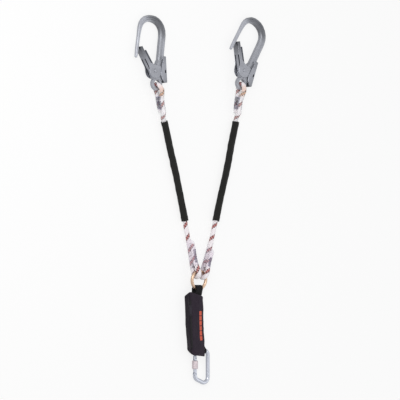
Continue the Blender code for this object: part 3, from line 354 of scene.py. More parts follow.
forged = {}
pressed = {}
for side in ("left", "right"):
    crown = hookFades["crownStart"][side]
    nose = hookFades["noseStart"][side]
    # Painted shade over the crown, a painted highlight on the nose, painted shade along the gate
    crownFade = ("DOT_PRODUCT", hookFades["crownWay"], crown, crown + hookFades["crownReach"],
                 hookFades["crownShade"])
    noseFade = ("DOT_PRODUCT", hookFades["noseWay"][side], nose, nose + hookFades["noseReach"],
                hookFades["noseHighlight"])
    gateFade = ("DISTANCE", gatePivot[side], hookFades["gateStart"], hookFades["gateEnd"],
                hookFades["gateShade"])
    forged[side] = metalFinish("forgedAluminium", (crownFade, noseFade), side)
    pressed[side] = metalFinish("pressedSheet", (gateFade,), side)
darkSheet = metalFinish("darkSheet")
brightZinc = metalFinish("brightZinc")
yellowZinc = metalFinish("yellowZinc")

knurl = {"colour": (0.72, 0.63, 0.66), "ridges": 26.0, "radius": 0.0081, "groove": -0.3}


def knurlFinish(middle):
    # Diamond knurl: two sets of slanting ridges round the sleeve's own axis, which lies along Y
    finish = Finish("knurledZinc", Metallic=0.85, Roughness=0.42)
    x, y, z = finish.place.node("ShaderNodeVectorMath", {"operation": "SUBTRACT"},
                                {0: finish.place, 1: middle}).parts()
    turn = z.math("ARCTAN2", x)
    one, other = ((turn * knurl["ridges"] + y * (way * knurl["ridges"] / knurl["radius"])).math("SINE")
                  .math("MAXIMUM", knurl["groove"]) for way in (1.0, -1.0))
    height = one.math("MINIMUM", other)
    # Painted shade: the knurl's grooves are darker than its ridges
    tone = height.range(knurl["groove"], 1.0, 0.72, 1.08).tint(knurl["colour"])
    return finish.feed(Base_Color=tone, Normal=height.bump(0.6, 0.00025))


knurled = knurlFinish(tuple((a + b) / 2 for a, b in zip(*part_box("screw_sleeve"))))
print("metals are mixed")

# Ropes: kernmantle sheath with coloured tracer yarns; each route runs from the upper tail's tip
# round the hook's eye bar, down the leg, round the ring and back up to the lower tail's tip,
# in millimetres
rope = {"diameter": 0.0124, "pitch": 0.034, "plaits": 8, "sides": 28, "spacing": 0.0022, "tip": 0.004,
        "tailReach": 0.15, "amberPlace": 0.027, "amberFade": 0.009,
        "ground": (0.93, 0.885, 0.915, 1.0), "worn": (0.88, 0.83, 0.855, 1.0),
        "plaitGapShade": (0.78, 0.71, 0.745, 1.0), "tracer": (0.40, 0.07, 0.06, 1.0),
        "dots": (0.03, 0.02, 0.02, 1.0), "amber": (0.60, 0.25, 0.07, 1.0), "peach": (0.78, 0.52, 0.40, 1.0)}

ropeRoutes = {
    "left": [
        (-134.8, 235.4, 7.8), (-141.3, 264.7, 7.8), (-147.0, 286.4, 7.7), (-150.6, 294.7, 8.0),
        (-155.8, 303.7, 9.2), (-158.3, 308.1, 12.4), (-159.7, 310.6, 17.5), (-159.8, 310.8, 23.5),
        (-158.6, 308.5, 28.8), (-156.2, 304.3, 32.4), (-154.1, 300.5, 33.3), (-151.1, 295.5, 32.1),
        (-148.6, 290.4, 30.0), (-145.0, 280.3, 24.7), (-143.2, 273.6, 21.8), (-142.0, 267.9, 20.8),
        (-137.6, 245.8, 20.6), (-135.7, 238.5, 21.0), (-134.5, 234.3, 20.2), (-132.8, 229.8, 16.6),
        (-129.6, 222.7, 12.1), (-127.8, 218.9, 10.4), (-125.1, 213.7, 9.2), (-121.9, 205.3, 8.6),
        (-113.8, 176.4, 8.8), (-105.6, 147.5, 8.9), (-97.4, 118.7, 8.9), (-89.1, 89.8, 8.9),
        (-80.7, 61.0, 8.9), (-73.0, 31.9, 8.9), (-65.5, 2.9, 8.9), (-58.2, -26.3, 9.0),
        (-50.9, -55.4, 9.0), (-43.4, -84.4, 7.7), (-36.0, -113.5, 7.8), (-29.4, -142.8, 7.8),
        (-24.0, -172.4, 7.8), (-19.4, -197.5, 8.2), (-18.6, -201.6, 9.7), (-18.0, -205.0, 12.6),
        (-17.6, -207.0, 16.5), (-17.5, -207.5, 21.0), (-17.8, -206.4, 25.3), (-18.2, -203.8, 28.9),
        (-19.2, -198.7, 31.8), (-20.3, -192.8, 31.8), (-21.6, -185.8, 29.6), (-23.0, -177.8, 25.7),
        (-24.7, -168.1, 22.0), (-25.7, -162.3, 20.9), (-31.5, -132.8, 20.6), (-34.9, -118.2, 20.6),
    ],
    "right": [
        (130.1, 234.0, 7.8), (133.9, 263.8, 7.8), (138.5, 290.4, 7.8), (138.5, 297.9, 8.1),
        (138.1, 305.3, 9.2), (137.8, 310.3, 12.3), (137.7, 313.2, 17.5), (137.7, 313.5, 23.4),
        (137.8, 310.9, 28.8), (138.0, 306.1, 32.3), (138.2, 301.7, 33.3), (138.6, 295.9, 32.2),
        (138.5, 290.3, 30.1), (136.4, 277.0, 23.4), (135.4, 271.4, 21.5), (133.7, 262.6, 20.5),
        (130.6, 241.9, 20.7), (130.2, 235.9, 21.1), (130.0, 233.2, 20.0), (129.9, 230.6, 16.3),
        (129.7, 227.0, 13.7), (129.2, 220.0, 10.9), (128.6, 214.2, 9.5), (126.3, 202.5, 8.7),
        (118.6, 173.5, 8.8), (111.5, 144.3, 8.9), (104.7, 115.1, 8.9), (97.2, 86.0, 8.9),
        (89.2, 57.1, 8.9), (80.8, 28.3, 8.9), (72.4, -0.5, 8.9), (64.6, -29.5, 9.0),
        (57.1, -58.6, 8.9), (49.8, -87.7, 7.6), (41.9, -116.6, 7.8), (32.3, -145.1, 7.8),
        (20.7, -172.7, 7.8), (8.4, -198.5, 7.8), (6.5, -202.4, 8.5), (4.9, -205.9, 10.9),
        (3.7, -208.4, 14.4), (3.2, -209.5, 18.7), (3.3, -209.1, 23.2), (4.2, -207.3, 27.2),
        (5.7, -204.3, 30.1), (7.5, -200.5, 31.7), (10.0, -195.1, 31.4), (13.1, -188.6, 29.2),
        (16.6, -181.3, 25.2), (20.9, -172.4, 21.7), (23.3, -167.0, 20.8), (33.5, -142.0, 20.6),
    ],
}


def braidFinish(name):
    # Plaits as two sets of slanting cells; one set carries the tracer yarns as a dotted spiral
    finish = Finish(name, Roughness=0.78, Sheen_Weight=0.25, Sheen_Roughness=0.5)
    u, v, _ = finish.weave.parts()
    count = rope["plaits"]
    slope = count / rope["pitch"]
    rising = u * count + v * slope
    falling = u * count - v * slope
    risingCell = rising.math("FLOOR")
    over = (risingCell + falling.math("FLOOR")).math("FLOORED_MODULO", 2.0)
    acrossRising = (rising.math("FRACT") - 0.5).math("ABSOLUTE")
    acrossFalling = (falling.math("FRACT") - 0.5).math("ABSOLUTE")
    crown = 1.0 - (over * (acrossRising - acrossFalling) + acrossFalling) * 2.0
    height = crown.math("POWER", 0.55)
    strand = risingCell.math("FLOORED_MODULO", float(count))
    onEdge = (strand - 1.0).math("ABSOLUTE").math("GREATER_THAN", 0.5)
    band = strand.math("LESS_THAN", 2.5)
    dotted = band * onEdge * over
    red = band * (1.0 - dotted) * (0.92 - onEdge * 0.32)
    yarn = finish.place.noise(2600.0, 2.0, 0.6)
    soil = finish.place.noise(60.0, 3.0, 0.6)
    warm = finish.place.node("ShaderNodeAttribute", {"attribute_name": "amber"}, output="Fac")
    base = soil.range(0.3, 0.7, 0.0, 1.0).mix(rope["ground"], rope["worn"])
    base = (warm * 0.75).mix(base, rope["peach"])
    # Painted shade: the low places between the plaits take a darker copy of the rope's colour
    base = (height * 0.5 + yarn * 0.5).range(0.1, 0.6, 0.0, 1.0).mix(rope["plaitGapShade"], base)
    tone = red.mix(base, warm.mix(rope["tracer"], rope["amber"]))
    return finish.feed(Base_Color=dotted.mix(tone, rope["dots"]),
                       Normal=(height + yarn * 0.35).bump(0.7, 0.0004))


def ropePiece(side):
    line = smoothLine(np.array(ropeRoutes[side]) / 1000.0, rope["spacing"])
    first, second = carriedFrames(line)
    far = distances(line)
    radius = rope["diameter"] / 2
    turns = np.linspace(0.0, 2 * math.pi, rope["sides"], endpoint=False)
    rings = []
    for point, a, b, along in zip(line, first, second, far):
        tip = min(1.0, min(along, far[-1] - along) / rope["tip"])
        size = radius * math.sqrt(1.0 - (1.0 - tip) ** 2 * 0.75)  # a rounded end, cut across
        rings.append([point + size * (math.cos(t) * a + math.sin(t) * b) for t in turns])
    piece = skinRings("braidedRope" + side.capitalize(), rings, list(far))
    # The yarns are amber on a short stretch below the hook
    amber = piece.data.attributes.new("amber", "FLOAT", "POINT")
    middle = far[int(np.argmax(line[far < rope["tailReach"]][:, 1]))] + rope["amberPlace"]
    for i, spot in enumerate(amber.data):
        spot.value = max(0.0, min(1.0, 2.0 - abs(far[i // rope["sides"]] - middle) / rope["amberFade"]))
    sheath = braidFinish("ropeSheath" + side.capitalize())
    fit(piece, sheath, "leg_" + side, "rope_" + side)
    return piece, line, far[-1]


ropes = {side: ropePiece(side) for side in ("left", "right")}
print("ropes are laid")

# Textile sleeves over the middle of each rope: a woven tube sewn up along its left side
sleeve = {"top": 0.2125, "bottom": -0.0585, "radius": 0.0098, "wall": 0.0012, "sides": 64, "spacing": 0.0016,
          "pucker": 0.0014, "hem": 0.012, "hemRise": 0.00045, "lie": 0.0002, "highest": 0.0142, "tails": 0.15,
          "tight": 0.0006, "slack": 0.0003, "seamReach": 0.42, "ridge": 0.0006, "ridgeReach": 0.12,
          "dip": 0.00035, "stitch": 0.0062, "cloth": (0.0125, 0.0125, 0.0115),
          "seed": {"left": 7.0, "right": 4.0}}


def clothFinish(name, colour, threads, relief, roughness, sheen, girth, shine=0.2, printAndLight=None):
    # Plain weave on the UV map, girth metres round, with lint and small colour changes
    finish = Finish(name, Roughness=roughness, Sheen_Weight=sheen, Sheen_Roughness=0.45,
                    Specular_IOR_Level=shine)
    u, v, _ = finish.weave.parts()
    warp = (u * (girth * math.pi / threads)).math("SINE")
    weft = (v * (math.pi / threads)).math("SINE")
    weave = (warp * weft).range(-1.0, 1.0, 0.0, 1.0)
    lint = finish.place.noise(1500.0, 2.0, 0.7)
    cloud = finish.place.noise(38.0, 4.0, 0.6)
    tone = (weave * 0.45 + lint * 0.3 + cloud * 0.35).range(0.25, 0.85, 0.0, 1.0).shades(colour, 0.55, 1.75)
    # The pouch's print and the painted light on its upper face are laid over the tone here
    if printAndLight:
        tone = printAndLight(finish.place, tone)
    return finish.feed(Base_Color=tone, Normal=(weave + lint * 0.5).bump(0.7, relief))


sleeveCloth = clothFinish("sleeveCloth", sleeve["cloth"], threads=0.0011, relief=0.0003, roughness=0.9,
                          sheen=0.12, girth=2 * math.pi * 0.0087)


def sleevePiece(side):
    line = ropes[side][1]
    tails = len(line) * sleeve["tails"]
    keep = [i for i, (x, y, z) in enumerate(line) if sleeve["bottom"] <= y <= sleeve["top"]
            and z < sleeve["highest"] and tails < i < len(line) - tails]
    path = smoothLine(line[keep[0]:keep[-1] + 1:6], sleeve["spacing"])
    path[:, 2] = np.maximum(path[:, 2], sleeve["radius"] + sleeve["lie"])
    aside, upward = levelFrames(path)
    far = distances(path)
    turns = np.linspace(0.0, 2 * math.pi, sleeve["sides"], endpoint=False)
    outside = []
    inside = []
    seam = math.pi if aside[0][0] > 0 else 0.0
    for i, point in enumerate(path):
        hem = sleeve["hemRise"] if min(far[i], far[-1] - far[i]) < sleeve["hem"] else 0.0
        ring = []
        lining = []
        for t in turns:
            away = math.cos(t) * aside[i] + math.sin(t) * upward[i]
            fromSeam = math.remainder(t - seam, 2 * math.pi)
            nearSeam = bell(fromSeam, sleeve["seamReach"])
            ripple = noise.noise(Vector((far[i] * 70.0, t * 1.3, sleeve["seed"][side])))
            broad = noise.noise(Vector((far[i] * 22.0, t * 0.9, 9.0)))
            swell = sleeve["pucker"] * (ripple * (0.45 + 1.3 * nearSeam) + broad * 0.8)
            ridge = sleeve["ridge"] * bell(fromSeam, sleeve["ridgeReach"])
            wave = 0.5 + 0.5 * math.sin(far[i] * 2 * math.pi / sleeve["stitch"])
            stitch = -sleeve["dip"] * nearSeam * wave
            spot = point + (sleeve["radius"] - sleeve["tight"] + hem + swell + ridge + stitch) * away
            spot[2] = max(spot[2], sleeve["lie"])
            ring.append(spot)
            lining.append(point + (sleeve["radius"] - sleeve["wall"] - sleeve["slack"]) * away)
        outside.append(ring)
        inside.append(lining)
    piece = skinTube("wovenSleeve" + side.capitalize(), outside, inside, far)
    return fit(piece, sleeveCloth, "leg_" + side, "protective_sleeve_" + side)


sleeves = {side: sleevePiece(side) for side in ("left", "right")}
print("sleeves are fitted")

# Splices: each rope end is laid back on its own rope, sewn to it and shrunk into a clear film.
# start is a film's distance from the bar, run its length past the tail's tip, and seam the stitched stretch.
splice = {"radius": 0.0074, "film": 0.0004, "pinch": 0.0011, "fullGap": 0.012, "merge": 0.009, "step": 0.0018,
          "crease": 0.00025, "mouth": 0.0005, "mouthReach": 0.002, "capPoints": 22, "sidePoints": 5,
          "clear": {"upper": ((0.88, 0.93, 0.93), 0.10), "lower": ((0.86, 0.77, 0.90), 0.14)},
          "start": {"upper": 0.0155, "lower": 0.024}, "run": {"upper": 0.034, "lower": 0.010},
          "seam": {"upper": {"left": (0.010, 0.046), "right": (0.010, 0.046)},
                   "lower": {"left": (0.014, 0.053), "right": (0.014, 0.046)}}}
thread = {"colour": (0.075, 0.06, 0.17), "radius": 0.00062, "sides": 6, "pitch": 0.00084, "reach": 0.0067,
          "sink": 0.0006, "twist": 5200.0}


def strandPairs(line, lastEnd):
    # Points of the tail from its tip to the bend, with the point of the long strand beside each
    rows = line[::-1] if lastEnd else line
    near = rows[distances(rows) < rope["tailReach"]]
    bend = int(np.argmax(np.abs(near[:, 1] - rows[0][1])))
    there = rows[bend:bend * 2 + 30]
    pairs = []
    for spot, heading in zip(rows[:bend], headings(rows)):
        gaps = np.abs((there - spot) @ heading) + 0.02 * np.linalg.norm(there - spot, axis=1)
        pairs.append((spot, there[int(np.argmin(gaps))]))
    return pairs, rows, bend


def lowerFirst(pair):
    return sorted(pair, key=lambda spot: spot[2])


def ovalRow(low, high, heading, radius):
    # A loop round two strands, drawn in between them
    rise = high - low
    gap = np.linalg.norm(rise)
    upright = rise / gap if gap > 1e-6 else np.array([0.0, 0.0, 1.0])
    upright = upright - np.dot(upright, heading) * heading
    upright /= np.linalg.norm(upright)
    aside = np.cross(heading, upright)
    row = []
    for centre, other, start, hand in ((high, low, 0.0, -1.0), (low, high, math.pi, 1.0)):
        for turn in (start + math.pi * k / (splice["capPoints"] - 1) for k in range(splice["capPoints"])):
            row.append(centre + radius * (math.cos(turn) * aside + math.sin(turn) * upright))
        for share in ((k + 1) / (splice["sidePoints"] + 1) for k in range(splice["sidePoints"])):
            pinch = splice["pinch"] * math.sin(math.pi * share) * min(1.0, gap / splice["fullGap"])
            row.append(centre + (other - centre) * share + hand * aside * (radius - pinch))
    return row


def filmFinish(name, colour, alpha):
    finish = Finish(name, Roughness=0.16, IOR=1.5, Alpha=alpha)
    haze = finish.place.noise(55.0, 2.0, 0.5)
    return finish.feed(Base_Color=haze.range(0.3, 0.7, 0.0, 1.0).shades(colour, 0.9, 1.0),
                       Normal=finish.place.noise(160.0, 3.0, 0.6).bump(0.6, 0.0006))


def threadFinish():
    finish = Finish("violetThread", Roughness=0.55, Sheen_Weight=0.3)
    u, v, _ = finish.weave.parts()
    twist = (u * (2 * math.pi) + v * thread["twist"]).math("SINE")
    shade = finish.place.noise(700.0, 2.0, 0.5)
    tone = (twist * 0.25 + shade).range(0.1, 0.9, 0.0, 1.0).shades(thread["colour"], 0.55, 1.6)
    return finish.feed(Base_Color=tone, Normal=twist.bump(0.5, 0.0001))


films = {end: filmFinish(end + "Film", *splice["clear"][end]) for end in ("upper", "lower")}
violet = threadFinish()


def filmTube(side, end, pairs, rows, bend):
    # From close to the bar or ring, over the tail's tip, and on along the single rope
    tailTip, tip = pairs[0]
    bar = rows[bend]
    start = splice["start"][end]
    places = [pair for pair in pairs[::-1] if np.linalg.norm(sum(pair) / 2 - bar) >= start]
    first = int(np.argmin(np.linalg.norm(rows[bend:] - tip, axis=1))) + bend
    far = distances(rows)
    for spot, beyond in zip(rows[first:], far[first:] - far[first]):
        if beyond > splice["run"][end]:
            break
        places.append((spot + (tailTip - tip) * (1.0 - easeStep(beyond, 0.0, splice["merge"])), spot))
    middle = np.array([sum(pair) / 2 for pair in places])
    keep = [0]
    for i in range(1, len(middle)):
        if np.linalg.norm(middle[i] - middle[keep[-1]]) >= splice["step"]:
            keep.append(i)
    middle = middle[keep]
    outer = []
    inner = []
    for i, (kept, ahead) in enumerate(zip(keep, headings(middle))):
        low, high = lowerFirst(places[kept])
        crease = noise.noise(Vector((i * 0.7, 3.0 if side == "left" else 8.0, 1.0))) * splice["crease"]
        fromMouth = min(i, len(keep) - 1 - i) * splice["step"]
        size = splice["radius"] + crease + splice["mouth"] * bell(fromMouth, splice["mouthReach"])
        outer.append([(x, y, max(z, 0.0001)) for x, y, z in ovalRow(low, high, ahead, size)])
        inner.append(ovalRow(low, high, ahead, size - splice["film"]))
    piece = skinTube(end + "ClearTube" + side.capitalize(), outer, inner, distances(middle))
    return fit(piece, films[end], "leg_" + side, "%s_splice_tube_%s" % (end, side))


def threadRun(name, spots):
    # Thread along a zigzag, a thin round strand
    line = np.array(spots)
    first, second = carriedFrames(line)
    turns = np.linspace(0.0, 2 * math.pi, thread["sides"], endpoint=False)
    rings = [[p + thread["radius"] * (math.cos(t) * a + math.sin(t) * b) for t in turns]
             for p, a, b in zip(line, first, second)]
    return skinRings(name, rings, list(distances(line)))


def stitchRow(low, high, aside, upright, acrossBoth):
    # One stitch: across both strands, or over the top of the upper one
    def onStrand(centre, degrees):
        angle = math.radians(degrees)
        return centre + thread["reach"] * (math.cos(angle) * aside + math.sin(angle) * upright)

    if not acrossBoth:
        return [onStrand(high, 90.0 + turn) for turn in (-34.0, -17.0, 0.0, 17.0, 34.0)]
    sunk = aside * (thread["reach"] - thread["sink"])
    bridge = [low + (high - low) * share + sunk for share in (0.33, 0.66)]
    return [onStrand(low, -24.0), onStrand(low, 0.0), *bridge, onStrand(high, 0.0), onStrand(high, 26.0)]


def stitchBand(side, end, label, pairs):
    # Zigzag seam: across both strands at the hook, along the top of the tail strand at the ring
    start, stop = splice["seam"][end][side]
    far = distances(np.array([spot for spot, _ in pairs]))
    chosen = [pair for pair, d in zip(pairs, far) if start <= d <= stop]
    middle = np.array([sum(pair) / 2 for pair in chosen])
    ahead = headings(middle)
    length = distances(middle)
    spots = []
    for k in range(int(length[-1] / thread["pitch"])):
        i = int(np.argmin(np.abs(length - (k + 0.5) * thread["pitch"])))
        low, high = lowerFirst(chosen[i])
        upright = (high - low) / np.linalg.norm(high - low)
        aside = np.cross(ahead[i], upright)
        if (aside[0] > 0) == (label == "near"):
            aside = -aside
        lean = ahead[i] * thread["pitch"] * 0.5
        row = stitchRow(low, high, aside, upright, end == "upper" or label == "far")
        row = [spot + lean * (m / (len(row) - 1)) for m, spot in enumerate(row)]
        spots += row if k % 2 == 0 else row[::-1]
    piece = threadRun(end + "Stitch" + label.capitalize() + side.capitalize(), spots)
    return fit(piece, violet, "leg_" + side, "%s_stitch_%s_%s" % (end, label, side))


onRope = {"left": [], "right": []}
for side, held in onRope.items():
    for end in ("upper", "lower"):
        pairs, rows, bend = strandPairs(ropes[side][1], end == "lower")
        held.append(filmTube(side, end, pairs, rows, bend))
        held += [stitchBand(side, end, label, pairs) for label in ("near", "far")]
    held.append(sleeves[side])
print("splices are sewn and shrunk")

# Absorber pouch: a soft coated-cloth shell, open at both ends, its own axis tilted a little from Y.
# rightEdge and foot say how far its section reaches right, and left at the bottom, at places along it.
# upperEnd and lowerEnd hold each end's place at the left and its change to the right: bottom, then top.
pouch = {"middle": (-0.01923, -0.33433, 0.0), "yaw": 2.7, "rows": 120, "around": 132, "wall": 0.0014,
         "sweep": 0.164, "left": -0.025, "height": 0.0277, "lie": 0.0001, "length": 0.16,
         "rightEdge": ((-0.08, -0.045, -0.02, 0.0, 0.025, 0.05, 0.08),
                       (0.0245, 0.0256, 0.0246, 0.0236, 0.0238, 0.0244, 0.0230)),
         "foot": ((-0.08, -0.055, -0.02, 0.04, 0.08), (-0.0210, -0.0222, -0.0240, -0.0243, -0.0248)),
         "across": 0.049, "upright": 0.028, "upperEnd": ((0.0748, -0.0068), (0.0886, -0.0165)),
         "lowerEnd": ((-0.0696, 0.0196), (-0.0832, -0.0067)),
         "folds": 0.0017, "tuck": 0.0009, "tuckReach": 0.0012,
         "hem": 0.0007, "hemFrom": 0.0068, "hemTo": 0.0078,
         "hemStitch": {"from": 0.0062, "depth": 0.0003, "reach": 0.0006, "rate": 2094.0},
         "edgeSeam": {"place": (0.0195, 0.0262), "bead": 0.0007, "beadReach": 0.0011, "beyond": 0.008,
                      "groove": 0.00035, "aside": 0.0032, "grooveReach": 0.0007, "rate": 1800.0},
         "crown": {"rise": 0.0011, "x": 0.002, "reach": 0.014, "above": 0.02},
         "zipLine": (-0.0229, 0.0259), "zipCalm": 0.006, "flat": 0.002,
         "cloth": (0.0098, 0.0066, 0.0110), "sunlit": (0.034, 0.022, 0.038, 1.0)}
stripe = {"colour": (0.62, 0.115, 0.070, 1.0), "x": (0.0042, 0.0126), "y": (-0.047, 0.034), "dash": 0.0135,
          "gap": 0.13, "above": 0.015}

pouchPlace = Matrix.Translation(Vector(pouch["middle"])) @ Matrix.Rotation(math.radians(pouch["yaw"]), 4, "Z")


def onPouch(x, y, z):
    return np.array(pouchPlace @ Vector((x, y, z)))


def sectionLoop(y):
    # Outline of the shell square to its length: a box with soft corners, taken in along its right side
    right = float(np.interp(y, *pouch["rightEdge"]))
    foot = float(np.interp(y, *pouch["foot"]))
    high = pouch["height"]
    corners = [((foot, 0.0002), 0.006), ((right - 0.001, 0.0002), 0.006), ((right, high - 0.0008), 0.0095),
               ((pouch["left"], high + 0.0003), 0.0082)]
    points = []
    for k, (corner, size) in enumerate(corners):
        corner = np.array(corner)
        start, stop = (corner + (other - corner) / np.linalg.norm(other - corner) * size
                       for other in (np.array(corners[k - 1][0]), np.array(corners[(k + 1) % 4][0])))
        for share in np.linspace(0.0, 1.0, 9):
            points.append((1 - share) ** 2 * start + 2 * share * (1 - share) * corner + share**2 * stop)
    points = np.array(points + [points[0]])
    loop = readEvenly(points, np.linspace(0.0, distances(points)[-1], pouch["around"], endpoint=False))
    turn = np.roll(loop, -1, axis=0) - np.roll(loop, 1, axis=0)
    outward = np.stack([turn[:, 1], -turn[:, 0]], axis=1)
    return loop, outward / np.linalg.norm(outward, axis=1)[:, None]


def pouchEnds(x, z):
    # How far the shell reaches down and up at a place of its section
    s = min(1.0, max(0.0, (x - pouch["left"]) / pouch["across"]))
    t = min(1.0, max(0.0, z / pouch["upright"]))
    (bottom, bottomChange), (top, topChange) = pouch["upperEnd"]
    upper = (1 - t) * (bottom + bottomChange * s) + t * (top + topChange * s)
    free = easeStep(s, 0.0, 0.45)
    rise = t * (1 - free) + easeStep(t, 0.66, 0.95) * free
    (bottom, bottomChange), (top, topChange) = pouch["lowerEnd"]
    lower = (1 - rise) * (bottom + bottomChange * easeStep(s, 0.0, 0.6)) + rise * (top + topChange * s)
    return lower, upper


def pouchSwell(x, y, z, fromEnd):
    # Folds, the turned hems at both ends and the seam along the right-hand edge
    broad = noise.noise(Vector((x * 26.0, y * 15.0, z * 26.0 + 3.0)))
    slant = noise.noise(Vector(((x + y * 0.55) * 62.0, (y - x) * 20.0, 7.0)))
    fine = noise.noise(Vector((x * 170.0, y * 110.0, z * 170.0)))
    calm = 1.0 - 0.9 * bell(math.dist((x, z), pouch["zipLine"]), pouch["zipCalm"])
    resting = 0.15 if z < pouch["flat"] else 1.0  # the underside is pressed flat
    swell = pouch["folds"] * (broad * 0.9 + slant * 0.75 + fine * 0.22) * calm * resting
    hem = pouch["hem"] * (1.0 - easeStep(fromEnd, pouch["hemFrom"], pouch["hemTo"]))
    sewn = pouch["hemStitch"]
    stitch = -sewn["depth"] * bell(fromEnd - sewn["from"], sewn["reach"])
    stitch *= 0.55 + 0.45 * math.sin((x + z) * sewn["rate"])
    seam = pouch["edgeSeam"]
    fromSeam = math.dist((x, z), seam["place"])
    bead = seam["bead"] * bell(fromSeam, seam["beadReach"]) if fromEnd > seam["beyond"] else 0.0
    groove = -seam["groove"] * bell(fromSeam - seam["aside"], seam["grooveReach"])
    groove *= 0.6 + 0.4 * math.sin(y * seam["rate"])
    top = pouch["crown"]
    crown = top["rise"] * bell(x - top["x"], top["reach"]) if z > top["above"] else 0.0
    return swell + (hem + stitch) * resting + bead + groove + crown


def pouchShell():
    outer = []
    inner = []
    for share in np.linspace(0.0, 1.0, pouch["rows"]):
        loop, outward = sectionLoop(pouch["sweep"] * (share - 0.5))
        row = []
        lining = []
        for (x, z), (outX, outZ) in zip(loop, outward):
            lower, upper = pouchEnds(x, z)
            y = lower + (upper - lower) * share
            fromEnd = min(y - lower, upper - y)
            swell = pouchSwell(x, y, z, fromEnd)
            out = swell - pouch["tuck"] * math.exp(-fromEnd / pouch["tuckReach"])
            row.append(onPouch(x + outX * out, y, max(z + outZ * out, pouch["lie"])))
            depth = pouch["wall"] - min(swell, 0.0) * 0.6
            lining.append(onPouch(x - outX * depth, y, z - outZ * depth))
        outer.append(row)
        inner.append(lining)
    return skinTube("pouchShell", outer, inner, np.linspace(0.0, pouch["length"], pouch["rows"]))


def stripeAndLitTop(place, cloth):
    # The upper face is paler with painted light, and a plain dashed coral stripe is laid along it in print
    turn = (0.0, 0.0, math.radians(pouch["yaw"]))
    x, y, z = place.node("ShaderNodeMapping", {"vector_type": "TEXTURE"},
                         {"Vector": place, "Location": pouch["middle"], "Rotation": turn}).parts()
    ragged = (place.noise(900.0, 2.0, 0.6) - 0.5) * 0.00015
    mask = z.math("GREATER_THAN", stripe["above"])
    for value, (low, high) in ((x, stripe["x"]), (y, stripe["y"])):
        mask = mask * (value + ragged).math("GREATER_THAN", low) * (value + ragged).math("LESS_THAN", high)
    dashes = ((y - stripe["y"][0]) * (1.0 / stripe["dash"])).math("FRACT").math("GREATER_THAN", stripe["gap"])
    worn = place.noise(300.0, 3.0, 0.6).range(0.35, 0.5, 0.72, 1.0)
    # Painted light: the upper face takes the paler sunlit colour
    lit = (z.range(0.0235, 0.0272, 0.0, 1.0) * 0.4).mix(cloth, pouch["sunlit"])
    return (mask * dashes * worn).mix(lit, stripe["colour"])


pouchCloth = clothFinish("pouchCloth", pouch["cloth"], threads=0.00075, relief=0.00012, roughness=0.55,
                         sheen=0.04, girth=0.152, shine=0.13, printAndLight=stripeAndLitTop)
fit(pouchShell(), pouchCloth, "absorber", "absorber_pouch")
print("pouch is sewn")

# Webbing: woven straps that are swept along a route, their width kept along one direction
webbing = {"thickness": 0.0024, "edge": 0.001, "rib": 0.0016, "wave": 0.0002, "spacing": 0.0011,
           "black": (0.0045, 0.0038, 0.0048), "cream": (0.62, 0.56, 0.42)}


def webbingFinish(name, colour, width):
    finish = Finish(name, Roughness=0.72, Sheen_Weight=0.04, Specular_IOR_Level=0.15)
    u, v, _ = finish.weave.parts()
    across = u * (2 * (width + webbing["thickness"]) / webbing["rib"])
    along = v * (1.0 / webbing["rib"])
    twill, pick = (wave.math("FRACT").range(0.0, 1.0, -1.0, 1.0).math("ABSOLUTE")
                   for wave in (across + along * 0.5, along * 2.0 + across.math("FLOOR") * 0.5))
    height = 1.0 - twill * pick
    fuzz = finish.place.noise(1200.0, 3.0, 0.6)
    tone = (height * 0.6 + fuzz * 0.4).range(0.2, 0.95, 0.0, 1.0).shades(colour, 0.5, 1.5)
    return finish.feed(Base_Color=tone, Normal=(height + fuzz * 0.4).bump(0.8, 0.0004))


def sweptStrap(name, line, wide, width, material, held, node, shaped=None):
    half = width / 2 - webbing["edge"]
    thick = webbing["thickness"] / 2
    outline = []
    for hand in (1.0, -1.0):
        outline += [(hand * (half + webbing["edge"] * math.cos(t)), hand * thick * math.sin(t))
                    for t in np.linspace(-math.pi / 2, math.pi / 2, 7)]
        outline += [(hand * x, hand * thick) for x in np.linspace(half, -half, 9)[1:-1]]
    wide = np.array(wide, float)
    rings = []
    for point, heading in zip(line, headings(line)):
        out = np.cross(heading, wide)
        out /= np.linalg.norm(out)
        wave = noise.noise(Vector(tuple(point * 120.0))) * webbing["wave"]
        ring = [point + wide * (x * (1.0 + wave * 20.0)) + out * (y + wave) for x, y in outline]
        rings.append([shaped(spot) for spot in ring] if shaped else ring)
    return fit(skinRings(name, rings, list(distances(line))), material, held, node)


def loopLine(middle, radius, length, slant, away):
    # Round the bar and back: two legs that close up towards the pouch
    legs = [(-away * length, 0.0014), (-away * (length * 0.62), 0.0035 + radius * 0.12)]
    turns = np.radians(np.linspace(112.0, -112.0, 13))
    points = legs + [(away * radius * math.cos(t), radius * math.sin(t)) for t in turns]
    points += [(y, -z) for y, z in legs[::-1]]
    route = [(middle[0] + slant * away * y, middle[1] + y, middle[2] + z) for y, z in points]
    return smoothLine(route, webbing["spacing"])


# The carabiner's top run starts to bend down at its shoulder; the upper loop spreads at its foot
shoulder = {"x": 0.01617, "y": -0.40603, "radius": 0.0140, "from": 0.006, "to": 0.013}
loopFoot = {"x": -0.0128, "share": 0.2, "near": 0.2430, "far": 0.2560}


def roundShoulder(spot):
    # The loop's right edge follows the carabiner round its shoulder
    x, y, z = spot
    turn = max(0.0, x - shoulder["x"]) / shoulder["radius"]
    turn *= 1.0 - easeStep(y, shoulder["y"] + shoulder["from"], shoulder["y"] + shoulder["to"])
    if turn <= 0.0:
        return spot
    reach = shoulder["radius"] + y - shoulder["y"]
    return np.array([shoulder["x"] + reach * math.sin(turn),
                     shoulder["y"] - shoulder["radius"] + reach * math.cos(turn), z])


def spreadFoot(spot):
    # The loop spreads a little towards the pouch's mouth
    x, y, z = spot
    spread = 1.0 + loopFoot["share"] * easeStep(-y, loopFoot["near"], loopFoot["far"])
    return np.array([loopFoot["x"] + (x - loopFoot["x"]) * spread, y, z])


